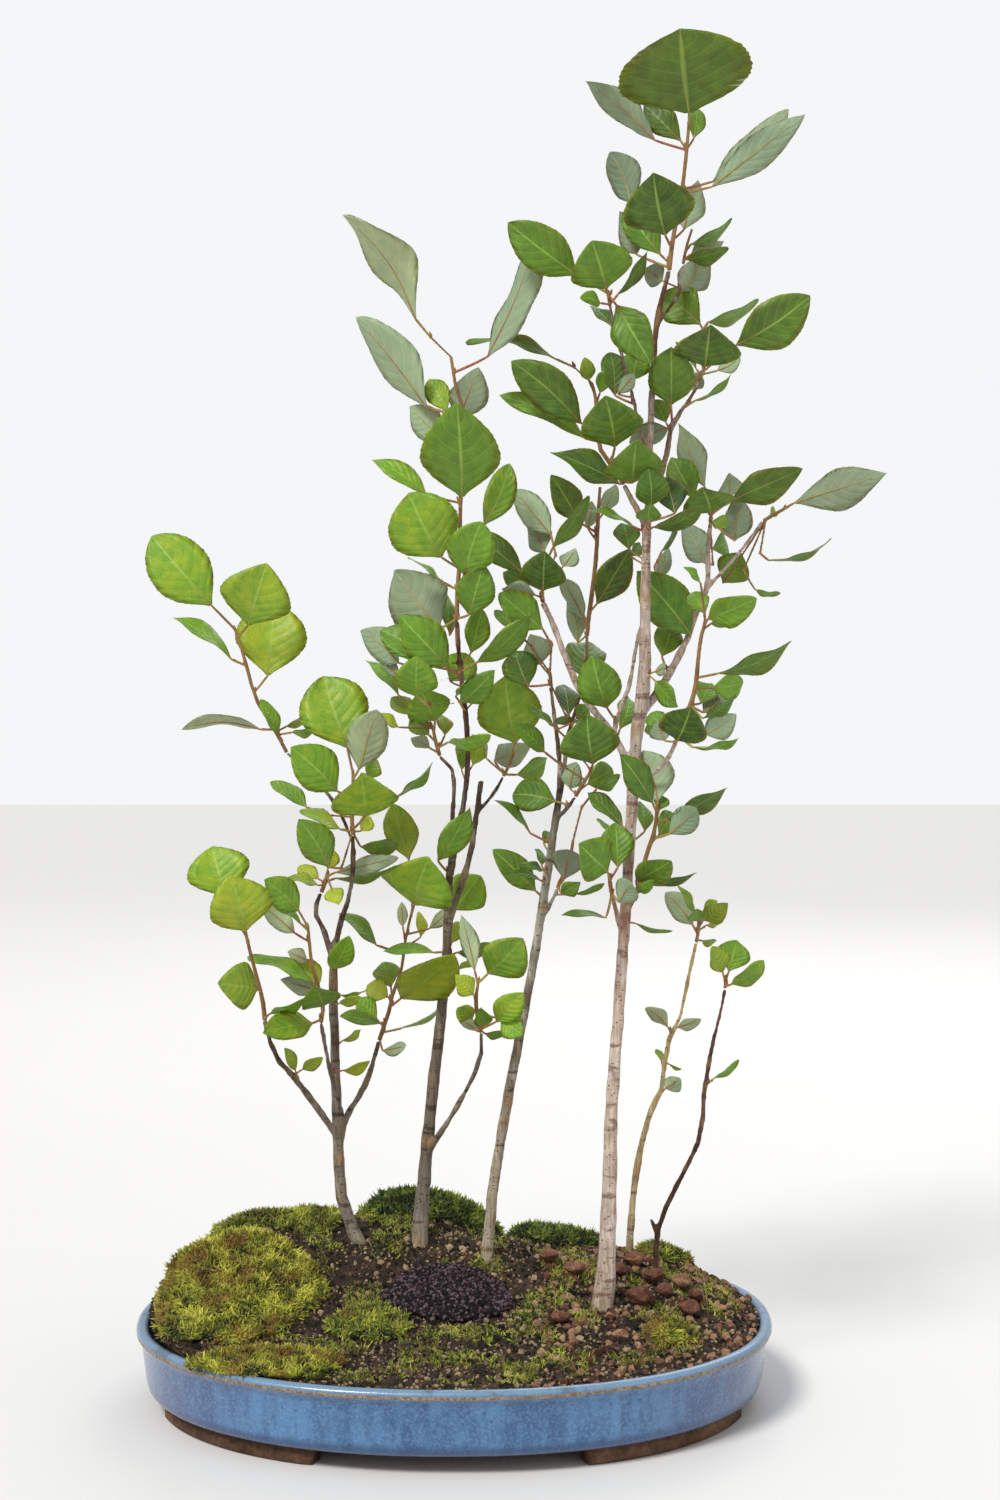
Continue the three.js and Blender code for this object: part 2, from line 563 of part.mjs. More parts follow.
const CUTTINGS = [
  {
    name: "cutting_1",
    depth: 13,
    wood: [
      [[-42, 55, 14, 4.2], [-46, 74, 14, 4], [-51, 83.5, 13.5, 3.5], [-55.5, 93, 13, 3.1],
        [-57.5, 108, 12, 2.9], [-59, 140, 10, 2.7], [-60, 175, 8, 2.5], [-61, 205, 7, 2.3],
        [-60, 229, 7, 2]],
      [[-60, 224, 7, 1.9], [-57, 238, 6, 1.7], [-53, 250, 5, 1.5], [-51, 265, 4, 1.4],
        [-51, 281, 4, 1.3]],
      [[-61, 218, 7, 1.9], [-65.5, 233, 10, 1.7], [-70, 243, 12, 1.5], [-67, 252, 14, 1.4]],
      [[-58.6, 130, 10, 2.1], [-70, 146, 2, 1.9], [-79, 158, -3, 1.7], [-90, 171, -8, 1.5],
        [-95, 188, -12, 1.4]],
      [[-57.5, 128, 11, 2.1], [-54.5, 140, 14, 2], [-47, 152, 18, 1.8], [-43, 161, 21, 1.6],
        [-38, 178, 26, 1.4]],
      [[-55.6, 136, 13, 1.5], [-58.5, 150, 4, 1.4], [-62.5, 163, 0, 1.3], [-67, 187, -4, 1.2]],
      [[-51, 277, 4, 1.1], [-60, 297, 10, 1.1], [-72, 310, 13, 1], [-84, 322, 14, 1]],
    ],
    leaves: [
      [-79.5, 163, -85, 174.5, -3, 30, 6], [-76.5, 163.5, -66, 169.5, -4, 20, 6],
      [-56, 178, -46, 183.5, 6, 40, 5], [-56, 163, -42, 167.5, 4, 50, 7],
      [-57, 200.5, -43, 203.5, 8, 65, 7], [-58, 196.5, -47, 200.5, -5, 40, 6],
      [-62, 213.5, -53, 230.5, -8, 20, 11],
    ],
    shoots: {
      a: {
        route: [[-95, 188, -12, 1.2], [-96.5, 200, -14, 1.1], [-99.5, 211, -16, 1],
          [-104.3, 230, -18, 0.8]],
        leaves: [
          [-104.5, 233, -112, 260, -6, 10, 27], [-114, 250, -121.5, 276, 5, 0, 27],
          [-98.5, 204, -118, 207, -8, 10, 20], [-93, 191, -74, 199, -6, 60, 10],
        ],
      },
      b: {
        route: [[-67, 187, -4, 1.1], [-66, 193, -6, 1.1], [-68, 204, -8, 1],
          [-71.5, 216, -9, 0.9], [-73.5, 235, -10, 0.8]],
        leaves: [
          [-65.5, 195, -70, 206, -14, 0, 17], [-68.5, 204, -79, 218, 4, 10, 13],
          [-70, 207, -103, 222, 0, 62, 11], [-69, 203, -87, 209, 5, 165, 9],
          [-73.5, 218, -84, 222.5, 4, 160, 7], [-78, 243, -95, 258.5, -6, 15, 14],
          [-76.5, 236.5, -96, 250, -2, 65, 10], [-80, 232, -96, 246, 5, 155, 10],
          [-71, 187, -96.5, 181.5, -14, 30, 14],
        ],
      },
      c: {
        route: [[-38, 178, 26, 1.3], [-36, 184, 27, 1.2], [-33, 193, 28, 1.1],
          [-31, 202, 29, 1], [-27, 213, 30, 0.9], [-24.5, 230, 30, 0.8], [-21.5, 243, 30, 0.7]],
        leaves: [
          [-36, 173, -24, 175, -6, 155, 7], [-27, 184, -3, 199, 3, 76, 9],
          [-37, 187, -58, 190, -5, 50, 9], [-39, 189, -51, 200, 3, 20, 10],
          [-33.5, 200, -44, 206, 5, 0, 11], [-32, 205, -36, 218, 8, 0, 13],
          [-27, 199, 0, 220, -12, 35, 25], [-39, 226, -58, 242, -4, 52, 12],
          [-17, 230, -18, 243, 5, 40, 7], [-13, 234, 0, 246, -3, 150, 8],
          [-20.5, 246, -14, 268.5, -14, 0, 34], [-23, 269, -31, 297, 6, 20, 17],
          [-26, 235, -26.5, 247, 6, 160, 5],
        ],
      },
      d: {
        route: [[-67, 252, 14, 1.2], [-65, 257, 14, 1.1], [-63.5, 263, 14, 0.9]],
        leaves: [
          [-68, 256, -84, 259.5, -3, 55, 8], [-68, 259, -79, 265, 5, 30, 7],
          [-63.5, 264, -61, 274, 2, 20, 8], [-60, 262, -28, 269.5, -6, 150, 9],
          [-60, 259, -31, 263.5, 2, 60, 9], [-62, 255, -58, 246, -6, 0, 9],
        ],
      },
      e: {
        route: [[-51, 281, 4, 1.2], [-51.5, 290, 4, 1.1], [-51, 300, 4, 1], [-51, 312, 4, 0.8]],
        leaves: [
          [-54, 325, -66, 361, 6, 0, 31], [-59, 303, -82, 325, -5, 10, 21],
          [-74, 295, -92, 309, 4, 45, 11], [-57, 284, -78, 293, -6, 55, 11],
          [-63, 265, -78, 289, 5, 10, 16], [-45, 290, -47, 311, -13, 0, 29],
          [-48, 314, -39, 344, -4, 180, 18], [-44, 309, -39, 319, 7, 20, 9],
          [-30, 299, -11, 317, -6, 65, 9], [-47, 275, -28, 276, 8, 30, 9],
          [-47, 283, -42, 290, 3, 10, 7],
        ],
      },
      f: {
        route: [[-84, 322, 14, 1], [-91, 335, 14, 1], [-99, 348, 14, 1], [-105.5, 370, 14, 0.9],
          [-110, 384, 14, 0.7]],
        leaves: [
          [-122, 396, -152, 431, 0, 0, 27], [-111.5, 369, -140.5, 391, -4, 66, 14],
          [-103.5, 386, -94, 417, -5, 0, 32], [-93.5, 361, -90, 398, 6, 0, 32],
          [-88, 331.5, -97, 349, -3, 40, 9], [-97, 334, -136.5, 336, 2, 118, 13],
          [-84.5, 335, -71, 343, 5, 50, 7], [-82, 332, -70, 334, -4, 55, 7],
        ],
      },
    },
  },
  {
    name: "cutting_2",
    depth: 15,
    wood: [
      [[-16.5, 48, 15, 5], [-17.5, 74, 15, 4.8], [-17.5, 88, 15, 4], [-16, 104, 15, 3.6],
        [-13, 135, 15, 3.2], [-10, 165, 15, 3], [-7, 190, 14, 2.9], [-4.5, 215, 13, 2.7],
        [-3.5, 240, 12, 2.5], [-3, 262, 11, 2.1]],
      [[-3, 258, 11, 1.6], [-2, 275, 13, 1.5], [-1, 295, 15, 1.4], [-1, 313, 17, 1.3],
        [-7.5, 320, 19, 1.2]],
      [[-3.2, 256, 11, 1.9], [1, 280, 7, 1.8], [5.5, 305, 4, 1.7], [6.5, 325, 3, 1.6],
        [5, 345, 2, 1.5], [2, 370, 1, 1.4], [1, 388, 0, 1.3]],
      [[-3.6, 236, 12, 2], [3, 256, 16, 1.9], [7.5, 270, 18, 1.8], [10, 287, 20, 1.7],
        [13, 308, 22, 1.6]],
      [[11, 292, 20.5, 1.3], [19.5, 302, 25, 1.2], [24, 310, 27, 1.1]],
      [[-14, 122, 15, 1.9], [-9.5, 129, 12, 1.8], [0, 143.5, 6, 1.6], [12.5, 169, 0, 1.4],
        [13, 182, -2, 1.3]],
    ],
    leaves: [
      [-10.5, 222.5, -36, 222.5, 9, 58, 10], [1, 222, 19.5, 226.5, 5, 40, 9],
      [-1.5, 227, 2, 238, 3, 20, 7], [1.5, 213.5, 9.5, 220, -3, 55, 6],
      [-1, 243.5, 12.5, 261, 7, 10, 19], [-8.5, 268, 7.5, 295, -5, 25, 15],
      [-3.5, 365, -27.5, 391, -5, 10, 20], [2.5, 347, 20, 363, -9, 20, 13],
      [0.5, 350, 10, 365, -14, 55, 10], [-2.5, 358, 8, 371.5, 6, 0, 15],
      [11, 367, 39, 390, -6, 42, 15], [8, 372, 13.5, 394, 6, 20, 12],
      [-19, 350, -19, 369.5, -9, 0, 19], [-13, 366, -37, 385, 4, 30, 17],
      [-28, 367, -47.5, 383, 10, 160, 16], [-27, 360, -39, 369, 7, 150, 7],
      [9, 347, 18, 353, 6, 55, 7], [3.5, 313.5, 1.5, 327, 6, 35, 7],
      [9, 316, 12, 329, 5, 25, 9], [-3.5, 327, 18, 330.5, -7, 52, 10],
    ],
    shoots: {
      a: {
        route: [[-7.5, 320, 19, 1.1], [-10, 329, 20, 1], [-11, 335, 20, 0.8]],
        leaves: [
          [-10, 338, -17, 354, -7, 0, 20], [-28, 351, -45, 369, 4, 55, 11],
          [-21, 341, -32, 350, 7, 20, 10], [-13, 331, -23, 339, 5, 15, 10],
          [-5, 331, -7, 342, 6, 25, 8], [-28, 335, -40, 341.5, -4, 45, 7],
          [-12.5, 324.5, -22, 329.5, -5, 160, 7],
        ],
      },
      b: {
        route: [[1, 388, 0, 1.2], [1, 400, -1, 1.2], [2, 412, -1, 1.2], [2.5, 435, -1, 1.1],
          [3, 465, -1, 1.1], [3.5, 497, -1, 1], [0, 507, -1, 0.9], [-2, 520, -1, 0.8]],
        leaves: [
          [3.5, 450, 1, 497, -14, 0, 34], [-14, 451, -42, 469, 4, 40, 13],
          [-7, 420, -23, 452, -5, 0, 31], [4.5, 411, 13, 437.5, -8, 0, 21],
          [14.5, 436, 27.5, 467, 5, 15, 14], [-7, 408, -23, 421, 2, 70, 7],
          [-8, 384, -30, 413, 8, 172, 29], [-2.5, 381, -4, 403, 8, 35, 9],
          [7, 391, 14, 416, -5, 0, 17], [-19.5, 539, -55, 592, -6, 124, 27],
          [-14, 495, -48.5, 540.5, 5, 130, 26], [16.5, 520, 40, 575, -3, 122, 24],
          [2, 489, 12, 515, 9, 172, 18], [-7, 480, -23, 495, 7, 168, 15],
          [-4, 493, -13, 510, 5, 0, 11],
        ],
      },
      c: {
        route: [[24, 310, 27, 1], [27.5, 317, 28, 0.9], [29.5, 323, 28, 0.8]],
        leaves: [
          [30, 327, 25, 361, -8, 0, 29], [16, 319, 9, 331, 5, 160, 6],
          [31, 311, 47, 319, 5, 35, 12], [19.5, 318, 38, 325.5, 12, 172, 13],
        ],
      },
      d: {
        route: [[13, 182, -2, 1.2], [11, 191, -3, 1.1], [10.5, 199, -4, 1], [11.5, 207, -4, 0.8]],
        leaves: [
          [9.5, 201, 0.5, 211, -3, 15, 10], [16.5, 211.5, 34, 229.5, -5, 20, 21],
          [10, 213, 4, 241, 6, 160, 9], [8.5, 187, 1, 194.5, -5, 15, 9],
          [11, 183, 3, 188.5, -8, 155, 6], [14.5, 185, 13, 194, -7, 5, 8],
          [20.5, 187.5, 34, 202, -6, 10, 13], [23, 189, 34, 181, -4, 25, 11],
          [15, 181.5, 27, 183, 6, 60, 7],
        ],
      },
    },
  },
  {
    name: "cutting_3",
    depth: 9,
    wood: [
      [[14, 42, 9, 3.2], [15.5, 67.5, 9, 3.1], [18.5, 100, 9, 2.9], [23.5, 133, 9, 2.7],
        [33, 184, 10, 2.5], [36.5, 202, 10, 2.4], [40, 222, 10, 2.4], [43, 242, 10, 2.3],
        [45.5, 257, 10, 2.3], [48, 275, 9, 2.1], [51, 292, 8, 1.9], [52.5, 304, 8, 1.8]],
      [[52.3, 300, 8, 1.6], [52.5, 312, 8, 1.5], [51.5, 326, 5, 1.4], [49.5, 341, 3, 1.3],
        [48, 355, 2, 1.2]],
      [[52.3, 300, 8, 1.6], [54.5, 314, 12, 1.5], [56.5, 331, 16, 1.4], [61, 345, 22, 1.3],
        [65, 362, 25, 1.3], [66, 380, 26, 1.2]],
      [[51, 290, 8, 1.5], [55, 293, 5, 1.4], [60, 300, 2, 1.2]],
      [[43.5, 240, 10, 1.5], [48, 247, 8, 1.3], [51, 254, 6, 1.2]],
    ],
    leaves: [
      [40.5, 253, 20, 274, -4, 20, 13], [43, 258.5, 27, 261.5, -9, 45, 6],
      [44.5, 263.5, 33, 266, -10, 45, 5], [38, 282, 20, 299, -4, 66, 8],
      [44.5, 277, 47.5, 283, 6, 20, 6], [43.5, 266, 40.5, 274, 6, 45, 6],
      [50, 298, 28.5, 301.5, 7, 15, 16], [60, 251, 75, 256.5, -2, 60, 5],
      [59.5, 337.5, 49.5, 337.5, 5, 45, 7], [58, 336.5, 68, 341.5, -4, 60, 5],
      [60.5, 339, 67, 346, 5, 15, 8],
    ],
    shoots: {
      a: {
        route: [[48, 355, 2, 1.1], [47.5, 362, 2, 0.9]],
        leaves: [
          [43, 366, 38, 381, 5, 168, 15], [36.5, 355.5, 30, 373, 5, 0, 16],
          [44, 384, 22, 402, -5, 35, 16], [30, 384, 19.5, 393.5, 5, 35, 8],
          [57, 341, 54, 357, 9, 0, 11],
        ],
      },
      b: {
        route: [[66, 380, 26, 1.2], [67, 392, 26, 1.3], [68.5, 402, 26, 1.3], [70.5, 420, 26, 1.2],
          [71.5, 440, 26, 1.1], [72.5, 455, 26, 0.8]],
        leaves: [
          [71, 396.5, 88, 424, -5, 15, 16], [64.5, 389, 53, 409.5, 4, 150, 10],
          [61.5, 377, 57, 400.5, 7, 158, 9], [61.5, 438, 48.5, 461, -7, 14, 14],
          [75, 443, 80, 456, 7, 168, 8], [66.5, 434, 68.5, 448, 5, 165, 6],
          [66, 358, 66, 379, 9, 0, 20],
        ],
      },
      c: {
        route: [[60, 300, 2, 1.1], [64, 306.5, 0, 1], [68, 313, -2, 0.8]],
        leaves: [
          [69, 316.5, 66, 341, -7, 0, 26], [66.5, 306.5, 79, 314.5, 6, 20, 13],
          [57.5, 304, 60.5, 317, 7, 172, 10], [45, 322.5, 31, 336, -6, 35, 11],
          [50, 335, 36, 345, -6, 55, 6],
        ],
      },
      d: {
        route: [[51, 254, 6, 1.1], [54.5, 262, 5, 1], [58, 272, 4, 0.9], [59, 278, 4, 0.8]],
        leaves: [
          [54.5, 259, 56.5, 275, -8, 168, 14], [53, 251.5, 62.5, 257, -4, 20, 8],
          [61, 263, 67, 272, 4, 150, 9], [71, 304, 83, 311, 4, 45, 8],
        ],
      },
    },
  },
  {
    name: "cutting_4",
    depth: -22,
    wood: [
      [[73, 25, -22, 6.2], [74, 48.5, -22, 5.9], [75.5, 64, -22, 4.7], [77, 100, -21, 3.8],
        [78.5, 150, -20, 3.3], [81, 182, -19, 3.1], [82.5, 202, -18, 3], [84, 225, -18, 3],
        [85.5, 248, -17, 3], [87, 272, -17, 3], [88.5, 295, -17, 3], [90.5, 328, -17, 3.1],
        [94, 352, -16, 3.8],
        [95, 374, -16, 3], [95, 395, -15, 2.7], [95.5, 418, -14, 2.5], [96, 434, -13, 2.2]],
      [[96, 430, -13, 2.1], [97, 455, -12, 2], [97.5, 478, -12, 1.9], [98.5, 500, -12, 1.8],
        [99.5, 520, -11, 1.7], [101, 538, -10, 1.6], [104, 552, -9, 1.5], [107, 563, -8, 1.4]],
      [[84.6, 238, -18, 1.9], [87.5, 246, -21, 1.6], [91, 251, -23, 1.4]],
      [[83.6, 232, -18, 1.8], [80.5, 243, -22, 1.5], [78.5, 251, -25, 1.3]],
      [[89, 312, -17, 2.4], [84, 322, -16, 2.2], [79, 331, -14, 2], [72, 340, -12, 1.9],
        [63, 352, -10, 1.8], [56, 368, -8, 1.7], [50, 384, -6, 1.6], [44, 397, -4, 1.4]],
      [[79.5, 331, -14, 1.4], [81, 340, -8, 1.3], [86, 352, -5, 1.3], [88.5, 362, -3, 1.2],
        [91, 378, -3, 1.2], [97, 398, -3, 1.1], [101, 417, -3, 1.1]],
      [[93.5, 342, -16, 2.4], [99, 349, -12, 2.2], [105, 358, -7, 2.1], [111, 369, -3, 2],
        [117, 381, 1, 1.8], [120, 391, 3, 1.7], [126, 405, 5, 1.6], [126.5, 420, 6, 1.4],
        [127.5, 437, 6, 1.3]],
      [[125, 403, 5, 1.3], [133, 412, 7, 1.3], [142, 422, 9, 1.3], [148, 430, 10, 1.2],
        [154, 438, 11, 1.1]],
      [[89.5, 306, -17, 1.8], [98, 311, -22, 1.6], [104, 316, -25, 1.5], [107.5, 321, -27, 1.4],
        [112, 332, -30, 1.3], [117, 344, -32, 1.3]],
      [[96, 430, -13, 1.7], [94, 438, -11, 1.7], [88, 449, -9, 1.6], [84.5, 456, -8, 1.4]],
      [[96.8, 442, -12.5, 1.9], [100, 455, -9, 1.9], [104.5, 466, -7, 1.8], [108.5, 487, -6, 1.6]],
      [[108.3, 484, -6, 1.3], [113, 493, -8, 1.3], [118, 500, -9, 1.3], [122, 508, -10, 1.2]],
      [[97.5, 472, -12, 1.4], [93, 481, -15, 1.3], [89.5, 498, -17, 1.2], [84.5, 516, -18, 1.2],
        [80.5, 533, -19, 1.2], [77.5, 545, -20, 1.1]],
      [[101, 536, -10, 1.2], [107.5, 545, -6, 1.1], [112.5, 553, -4, 1.1], [114, 566, -3, 1]],
    ],
    leaves: [
      [90, 236.5, 109, 233, -4, 66, 7], [76, 344.5, 69, 369.5, -8, 5, 19],
      [82.5, 334, 87, 350.5, 14, 15, 11], [97, 337.5, 100.5, 330, 7, 20, 7],
      [100, 358, 111.5, 345, -7, 25, 10], [84, 285.5, 66, 302, 5, 45, 10],
      [77, 283, 71, 289.5, 4, 55, 5], [95, 283, 92.5, 298, 10, 35, 9],
      [103.5, 370.5, 108.5, 387, 7, 0, 13], [100, 362.5, 106, 365, -5, 150, 6],
      [90, 435, 67, 445, -4, 68, 7], [99, 434.5, 124, 444, -9, 50, 10],
      [97, 438, 97.5, 446, -10, 0, 11], [87, 424, 84, 437.5, 8, 10, 12],
      [88, 420.5, 93, 427, 6, 15, 6], [98, 445, 97, 464, -7, 10, 15],
      [80, 501, 78, 523.5, 5, 10, 12], [88.5, 508.5, 92.5, 522, 7, 10, 13],
      [81.5, 501.5, 90, 512, -4, 160, 7], [105.5, 487.5, 99.5, 498.5, 4, 20, 10],
      [107, 484.5, 87, 477, 6, 158, 11], [108, 496, 108, 524.5, -9, 0, 20],
      [118, 381, 91, 413, -4, 10, 22], [116.5, 387, 102, 410, -12, 5, 15],
      [103.5, 422.5, 113, 438, 4, 55, 6], [101.5, 409, 107, 424, 5, 162, 8],
      [110, 442, 105, 460.5, 8, 10, 15], [119.5, 497.5, 139, 510.5, -3, 68, 6],
      [104, 558, 95, 564, 5, 168, 11], [112.5, 552.5, 127, 571, 6, 168, 15],
    ],
    shoots: {
      a: {
        route: [[91, 251, -23, 1.3], [93, 260, -24, 1.3], [96, 272, -25, 1.2], [99.5, 282, -26, 1.1],
          [101, 293, -26, 0.9]],
        leaves: [
          [99, 297, 83, 321.5, -7, 35, 14], [101.5, 298, 95, 323, 4, 172, 19],
          [102, 293.5, 104, 301, 3, 10, 7], [106, 288.5, 137, 303.5, -3, 52, 11],
          [107, 281.5, 121.5, 295, -6, 160, 12], [102, 281, 109, 293, 6, 20, 10],
          [90.5, 258, 108, 267.5, -9, 30, 14], [97, 255.5, 121, 262.5, -3, 55, 6],
          [90, 253, 99, 257.5, -8, 40, 6],
        ],
      },
      b: {
        route: [[78.5, 251, -25, 1.2], [77.5, 257, -26, 1.1], [77, 262, -26, 0.9]],
        leaves: [
          [76.5, 262.5, 62, 276.5, -7, 15, 21], [81.5, 265, 80.5, 287.5, 7, 15, 15],
          [82, 247.5, 89, 258, -6, 168, 12], [75.5, 240, 53, 240.5, -3, 66, 7],
        ],
      },
      c: {
        route: [[44, 397, -4, 1.3], [43.5, 401, -4, 1], [44, 405, -4, 0.8]],
        leaves: [
          [44, 403, 45, 422.5, -10, 0, 20], [34, 412, 9, 434, 3, 20, 13],
          [49, 424.5, 68, 450, -4, 40, 11], [48, 431.5, 30, 454, 5, 160, 14],
          [45, 422, 36.5, 438, 8, 150, 13], [54, 415, 60.5, 424, 6, 158, 9],
          [40.5, 401, 23, 404.5, -4, 150, 9], [38, 406, 24, 412.5, 7, 10, 10],
        ],
      },
      d: {
        route: [[84.5, 456, -8, 1.3], [79, 465, -9, 1.2], [73, 473, -10, 1.2], [71, 488, -8, 1],
          [70, 501, -7, 0.9], [68.5, 507, -7, 0.7]],
        leaves: [
          [82.5, 456.5, 49, 474, -8, 35, 15], [89, 457, 91, 477.5, -13, 0, 26],
          [80, 475, 75, 500.5, -10, 0, 27], [65, 479.5, 22, 501, 3, 40, 12],
          [63, 487, 28, 518, -5, 10, 19], [51, 519, 6, 531, 0, 66, 11],
          [67, 508, 65, 519.5, -4, 10, 7], [72.5, 502, 75, 513, 3, 20, 7],
        ],
      },
      e: {
        route: [[77.5, 545, -20, 1], [77, 549, -20, 0.9], [76.5, 552, -20, 0.8]],
        leaves: [
          [61, 561, 26.5, 587.5, -4, 10, 20], [75.5, 554, 68.5, 578, -10, 0, 27],
          [81.5, 551, 97, 573, 4, 60, 9], [73, 547, 63, 550, -5, 35, 8],
          [80.5, 546, 97.5, 516.5, -6, 15, 18], [79, 535, 68, 547, 8, 45, 8],
        ],
      },
      f: {
        route: [[107, 563, -8, 1.3], [108, 572, -8, 1.3], [110, 585, -8, 1.2], [113, 600, -8, 1.1],
          [115.5, 620, -8, 1], [117, 637, -8, 0.8]],
        leaves: [
          [117, 642, 112.5, 684, -12, 0, 57], [100, 628.5, 66, 658.5, 3, 150, 14],
          [113, 628, 94, 648, 4, 15, 13], [119.5, 629.5, 121.5, 646, 5, 15, 9],
          [88, 597, 78, 622.5, 4, 150, 17], [105, 581, 99, 612.5, -12, 0, 31],
          [102.5, 571.5, 85, 594.5, 5, 15, 15], [91, 571, 83, 592, 8, 168, 13],
          [129, 607.5, 167, 643, 4, 150, 16], [128.5, 605, 175.5, 640, -6, 162, 15],
          [114.5, 583.5, 121.5, 608, 8, 168, 14],
        ],
      },
      g: {
        route: [[114, 566, -3, 0.9], [115.5, 574, -3, 0.8], [118.5, 584, -2, 0.7]],
        leaves: [
          [115, 568.5, 137, 574.5, -4, 45, 10], [118, 576, 140, 588, 3, 52, 10],
          [117.5, 571, 134, 578, 7, 165, 9],
        ],
      },
      h: {
        route: [[122, 508, -10, 1.1], [124, 512.5, -10, 0.9]],
        leaves: [
          [125, 515, 127.5, 535.5, -11, 0, 29], [141, 526, 178, 550.5, -4, 10, 22],
          [126.5, 537, 152, 549, 6, 55, 12], [122.5, 536.5, 103, 552.5, 5, 10, 19],
          [131, 513, 142.5, 519, 4, 155, 7], [121, 514, 110, 527.5, 4, 62, 6],
          [117, 503, 120.5, 512.5, 6, 165, 10],
        ],
      },
      i: {
        route: [[127.5, 437, 6, 1.2], [128, 441, 6, 0.9]],
        leaves: [
          [128, 442, 123.5, 455, -9, 0, 23], [137.5, 448, 174, 464, -5, 25, 16],
          [140, 428, 142, 449.5, 7, 162, 15], [136.5, 450, 137.5, 461, 9, 162, 12],
          [130.5, 434, 134.5, 441, -5, 15, 7], [125, 417, 114, 437, 6, 148, 15],
          [128.8, 424, 136, 429, 5, 25, 12], [125, 455, 112, 487, 7, 158, 14],
          [120, 449.5, 108, 470.5, 10, 0, 15],
        ],
      },
      j: {
        route: [[154, 438, 11, 1], [161, 442, 12, 0.9], [167, 445.5, 12, 0.8]],
        leaves: [
          [170, 447, 216, 462, -9, 160, 19], [157.5, 440.5, 160, 445, 3, 40, 5],
          [134, 407, 143.5, 422, -9, 5, 17], [157, 418, 189, 428, -3, 68, 7],
          [150, 403.5, 163, 401, -3, 55, 6],
        ],
      },
      k: {
        route: [[117, 344, -32, 1.3], [120, 354, -33, 1.2], [121.5, 368, -34, 1], [123, 380, -35, 1],
          [125, 387, -36, 0.9]],
        leaves: [
          [126.5, 389, 150, 398, -10, 15, 14], [128, 386.5, 139.5, 391.5, 5, 35, 8],
          [131.5, 361.5, 169.5, 375.5, -4, 52, 12], [129, 354.5, 144.5, 357, 6, 10, 12],
          [123, 347, 128.5, 358, 9, 0, 11], [124, 339, 141, 350.5, -4, 52, 8],
          [124, 342, 137, 353.5, 9, 168, 10], [111, 328, 117.5, 344, -12, 0, 20],
          [124.5, 331, 140.5, 341, 5, 162, 12], [105, 328, 101, 338, 5, 168, 10],
          [104.5, 335, 96.5, 341, 8, 20, 9], [119, 324.5, 142, 327.5, -4, 68, 7],
          [125, 392, 118, 403, 7, 15, 10], [123, 407, 115, 415.5, -4, 55, 5],
        ],
      },
    },
  },
  {
    name: "cutting_5",
    depth: 50,
    wood: [
      [[86.5, 56, 50, 2.2], [87.5, 79.5, 50, 2.1], [90, 108, 50, 2], [94.5, 132, 49, 1.8],
        [98, 143, 48, 1.7], [102.5, 151, 47, 1.6], [105, 168, 46, 1.5], [108, 182, 45, 1.5],
        [113, 191, 44, 1.3], [115.5, 204, 44, 1.2], [118.5, 218, 43, 1.2], [120.5, 227, 43, 1.1]],
    ],
    leaves: [
      [106.5, 185, 95, 195.5, -4, 150, 8], [111, 184.5, 123, 188.5, 3, 155, 6],
      [103.5, 168, 100.5, 174, 4, 50, 5], [107, 166, 113.5, 164, -3, 60, 5],
      [105, 154, 112.5, 159.5, 4, 162, 9],
    ],
    shoots: {
      a: {
        route: [[120.5, 227, 43, 1], [121.5, 232, 43, 0.9], [122, 237, 43, 0.8]],
        leaves: [
          [119, 236, 105.5, 252.5, 4, 158, 12], [120, 242, 111, 256, -4, 52, 7],
          [124, 238, 136.5, 246.5, -5, 25, 11], [124.5, 241, 131, 248.5, 6, 10, 7],
          [125.5, 235.5, 134.5, 239, 3, 60, 5], [121.5, 237.5, 121, 243.5, -7, 0, 9],
          [123.5, 228, 131, 227.5, 3, 50, 6],
        ],
      },
    },
  },
  {
    name: "cutting_6",
    depth: 14,
    wood: [
      [[100, 32, 14, 1.9], [100.5, 56, 14, 1.8], [101.5, 84, 12, 1.6], [110, 104, 8, 1.5],
        [117.5, 118.5, 5, 1.5], [122.5, 130, 3, 1.4], [124, 141, 2, 1.4], [124.5, 152, 1, 1.3],
        [127.5, 170, 0, 1.2], [131, 186, -1, 1.1], [134, 197, -2, 1.1], [135, 204, -2, 1]],
      [[101.4, 81, 12, 1.4], [99.6, 85, 11.5, 1.2], [98, 89, 11, 0.9]],
    ],
    leaves: [[129.5, 159, 142.5, 168, -3, 62, 6]],
    shoots: {
      a: {
        route: [[135, 204, -2, 0.9], [135.5, 211, -2, 0.8]],
        leaves: [
          [134, 212, 129, 225, -4, 15, 10], [137, 213, 141, 228.5, 5, 10, 15],
          [138, 206, 155, 217, -4, 45, 10],
        ],
      },
    },
  },
];

// ---------------------------------------------------------------- growing the grove

// Everything that is already in place, with a box round it to find neighbours quickly.
const inPlace = [];

function boxOf(solid) {
  const { min, max } = solid.boundingBox();
  return new THREE.Box3(new THREE.Vector3(...min), new THREE.Vector3(...max));
}

// `core` is what a leaf of the same piece has to stay clear of: the wood of a piece, or a
// leaf without the petiole's foot, which may share the wood with its neighbours.
function settleIn(owner, solid, core) {
  inPlace.push({ owner, solid, core, isWood: core === solid, box: boxOf(solid) });
}

function isFree(owner, whole, core) {
  const box = boxOf(whole);
  return inPlace.every((other) => {
    if (!box.intersectsBox(other.box)) {
      return true;
    }
    if (other.owner !== owner) {
      return !touches(whole, other.solid);
    }
    return !touches(core, other.solid) && (other.isWood || !touches(whole, other.core));
  });
}

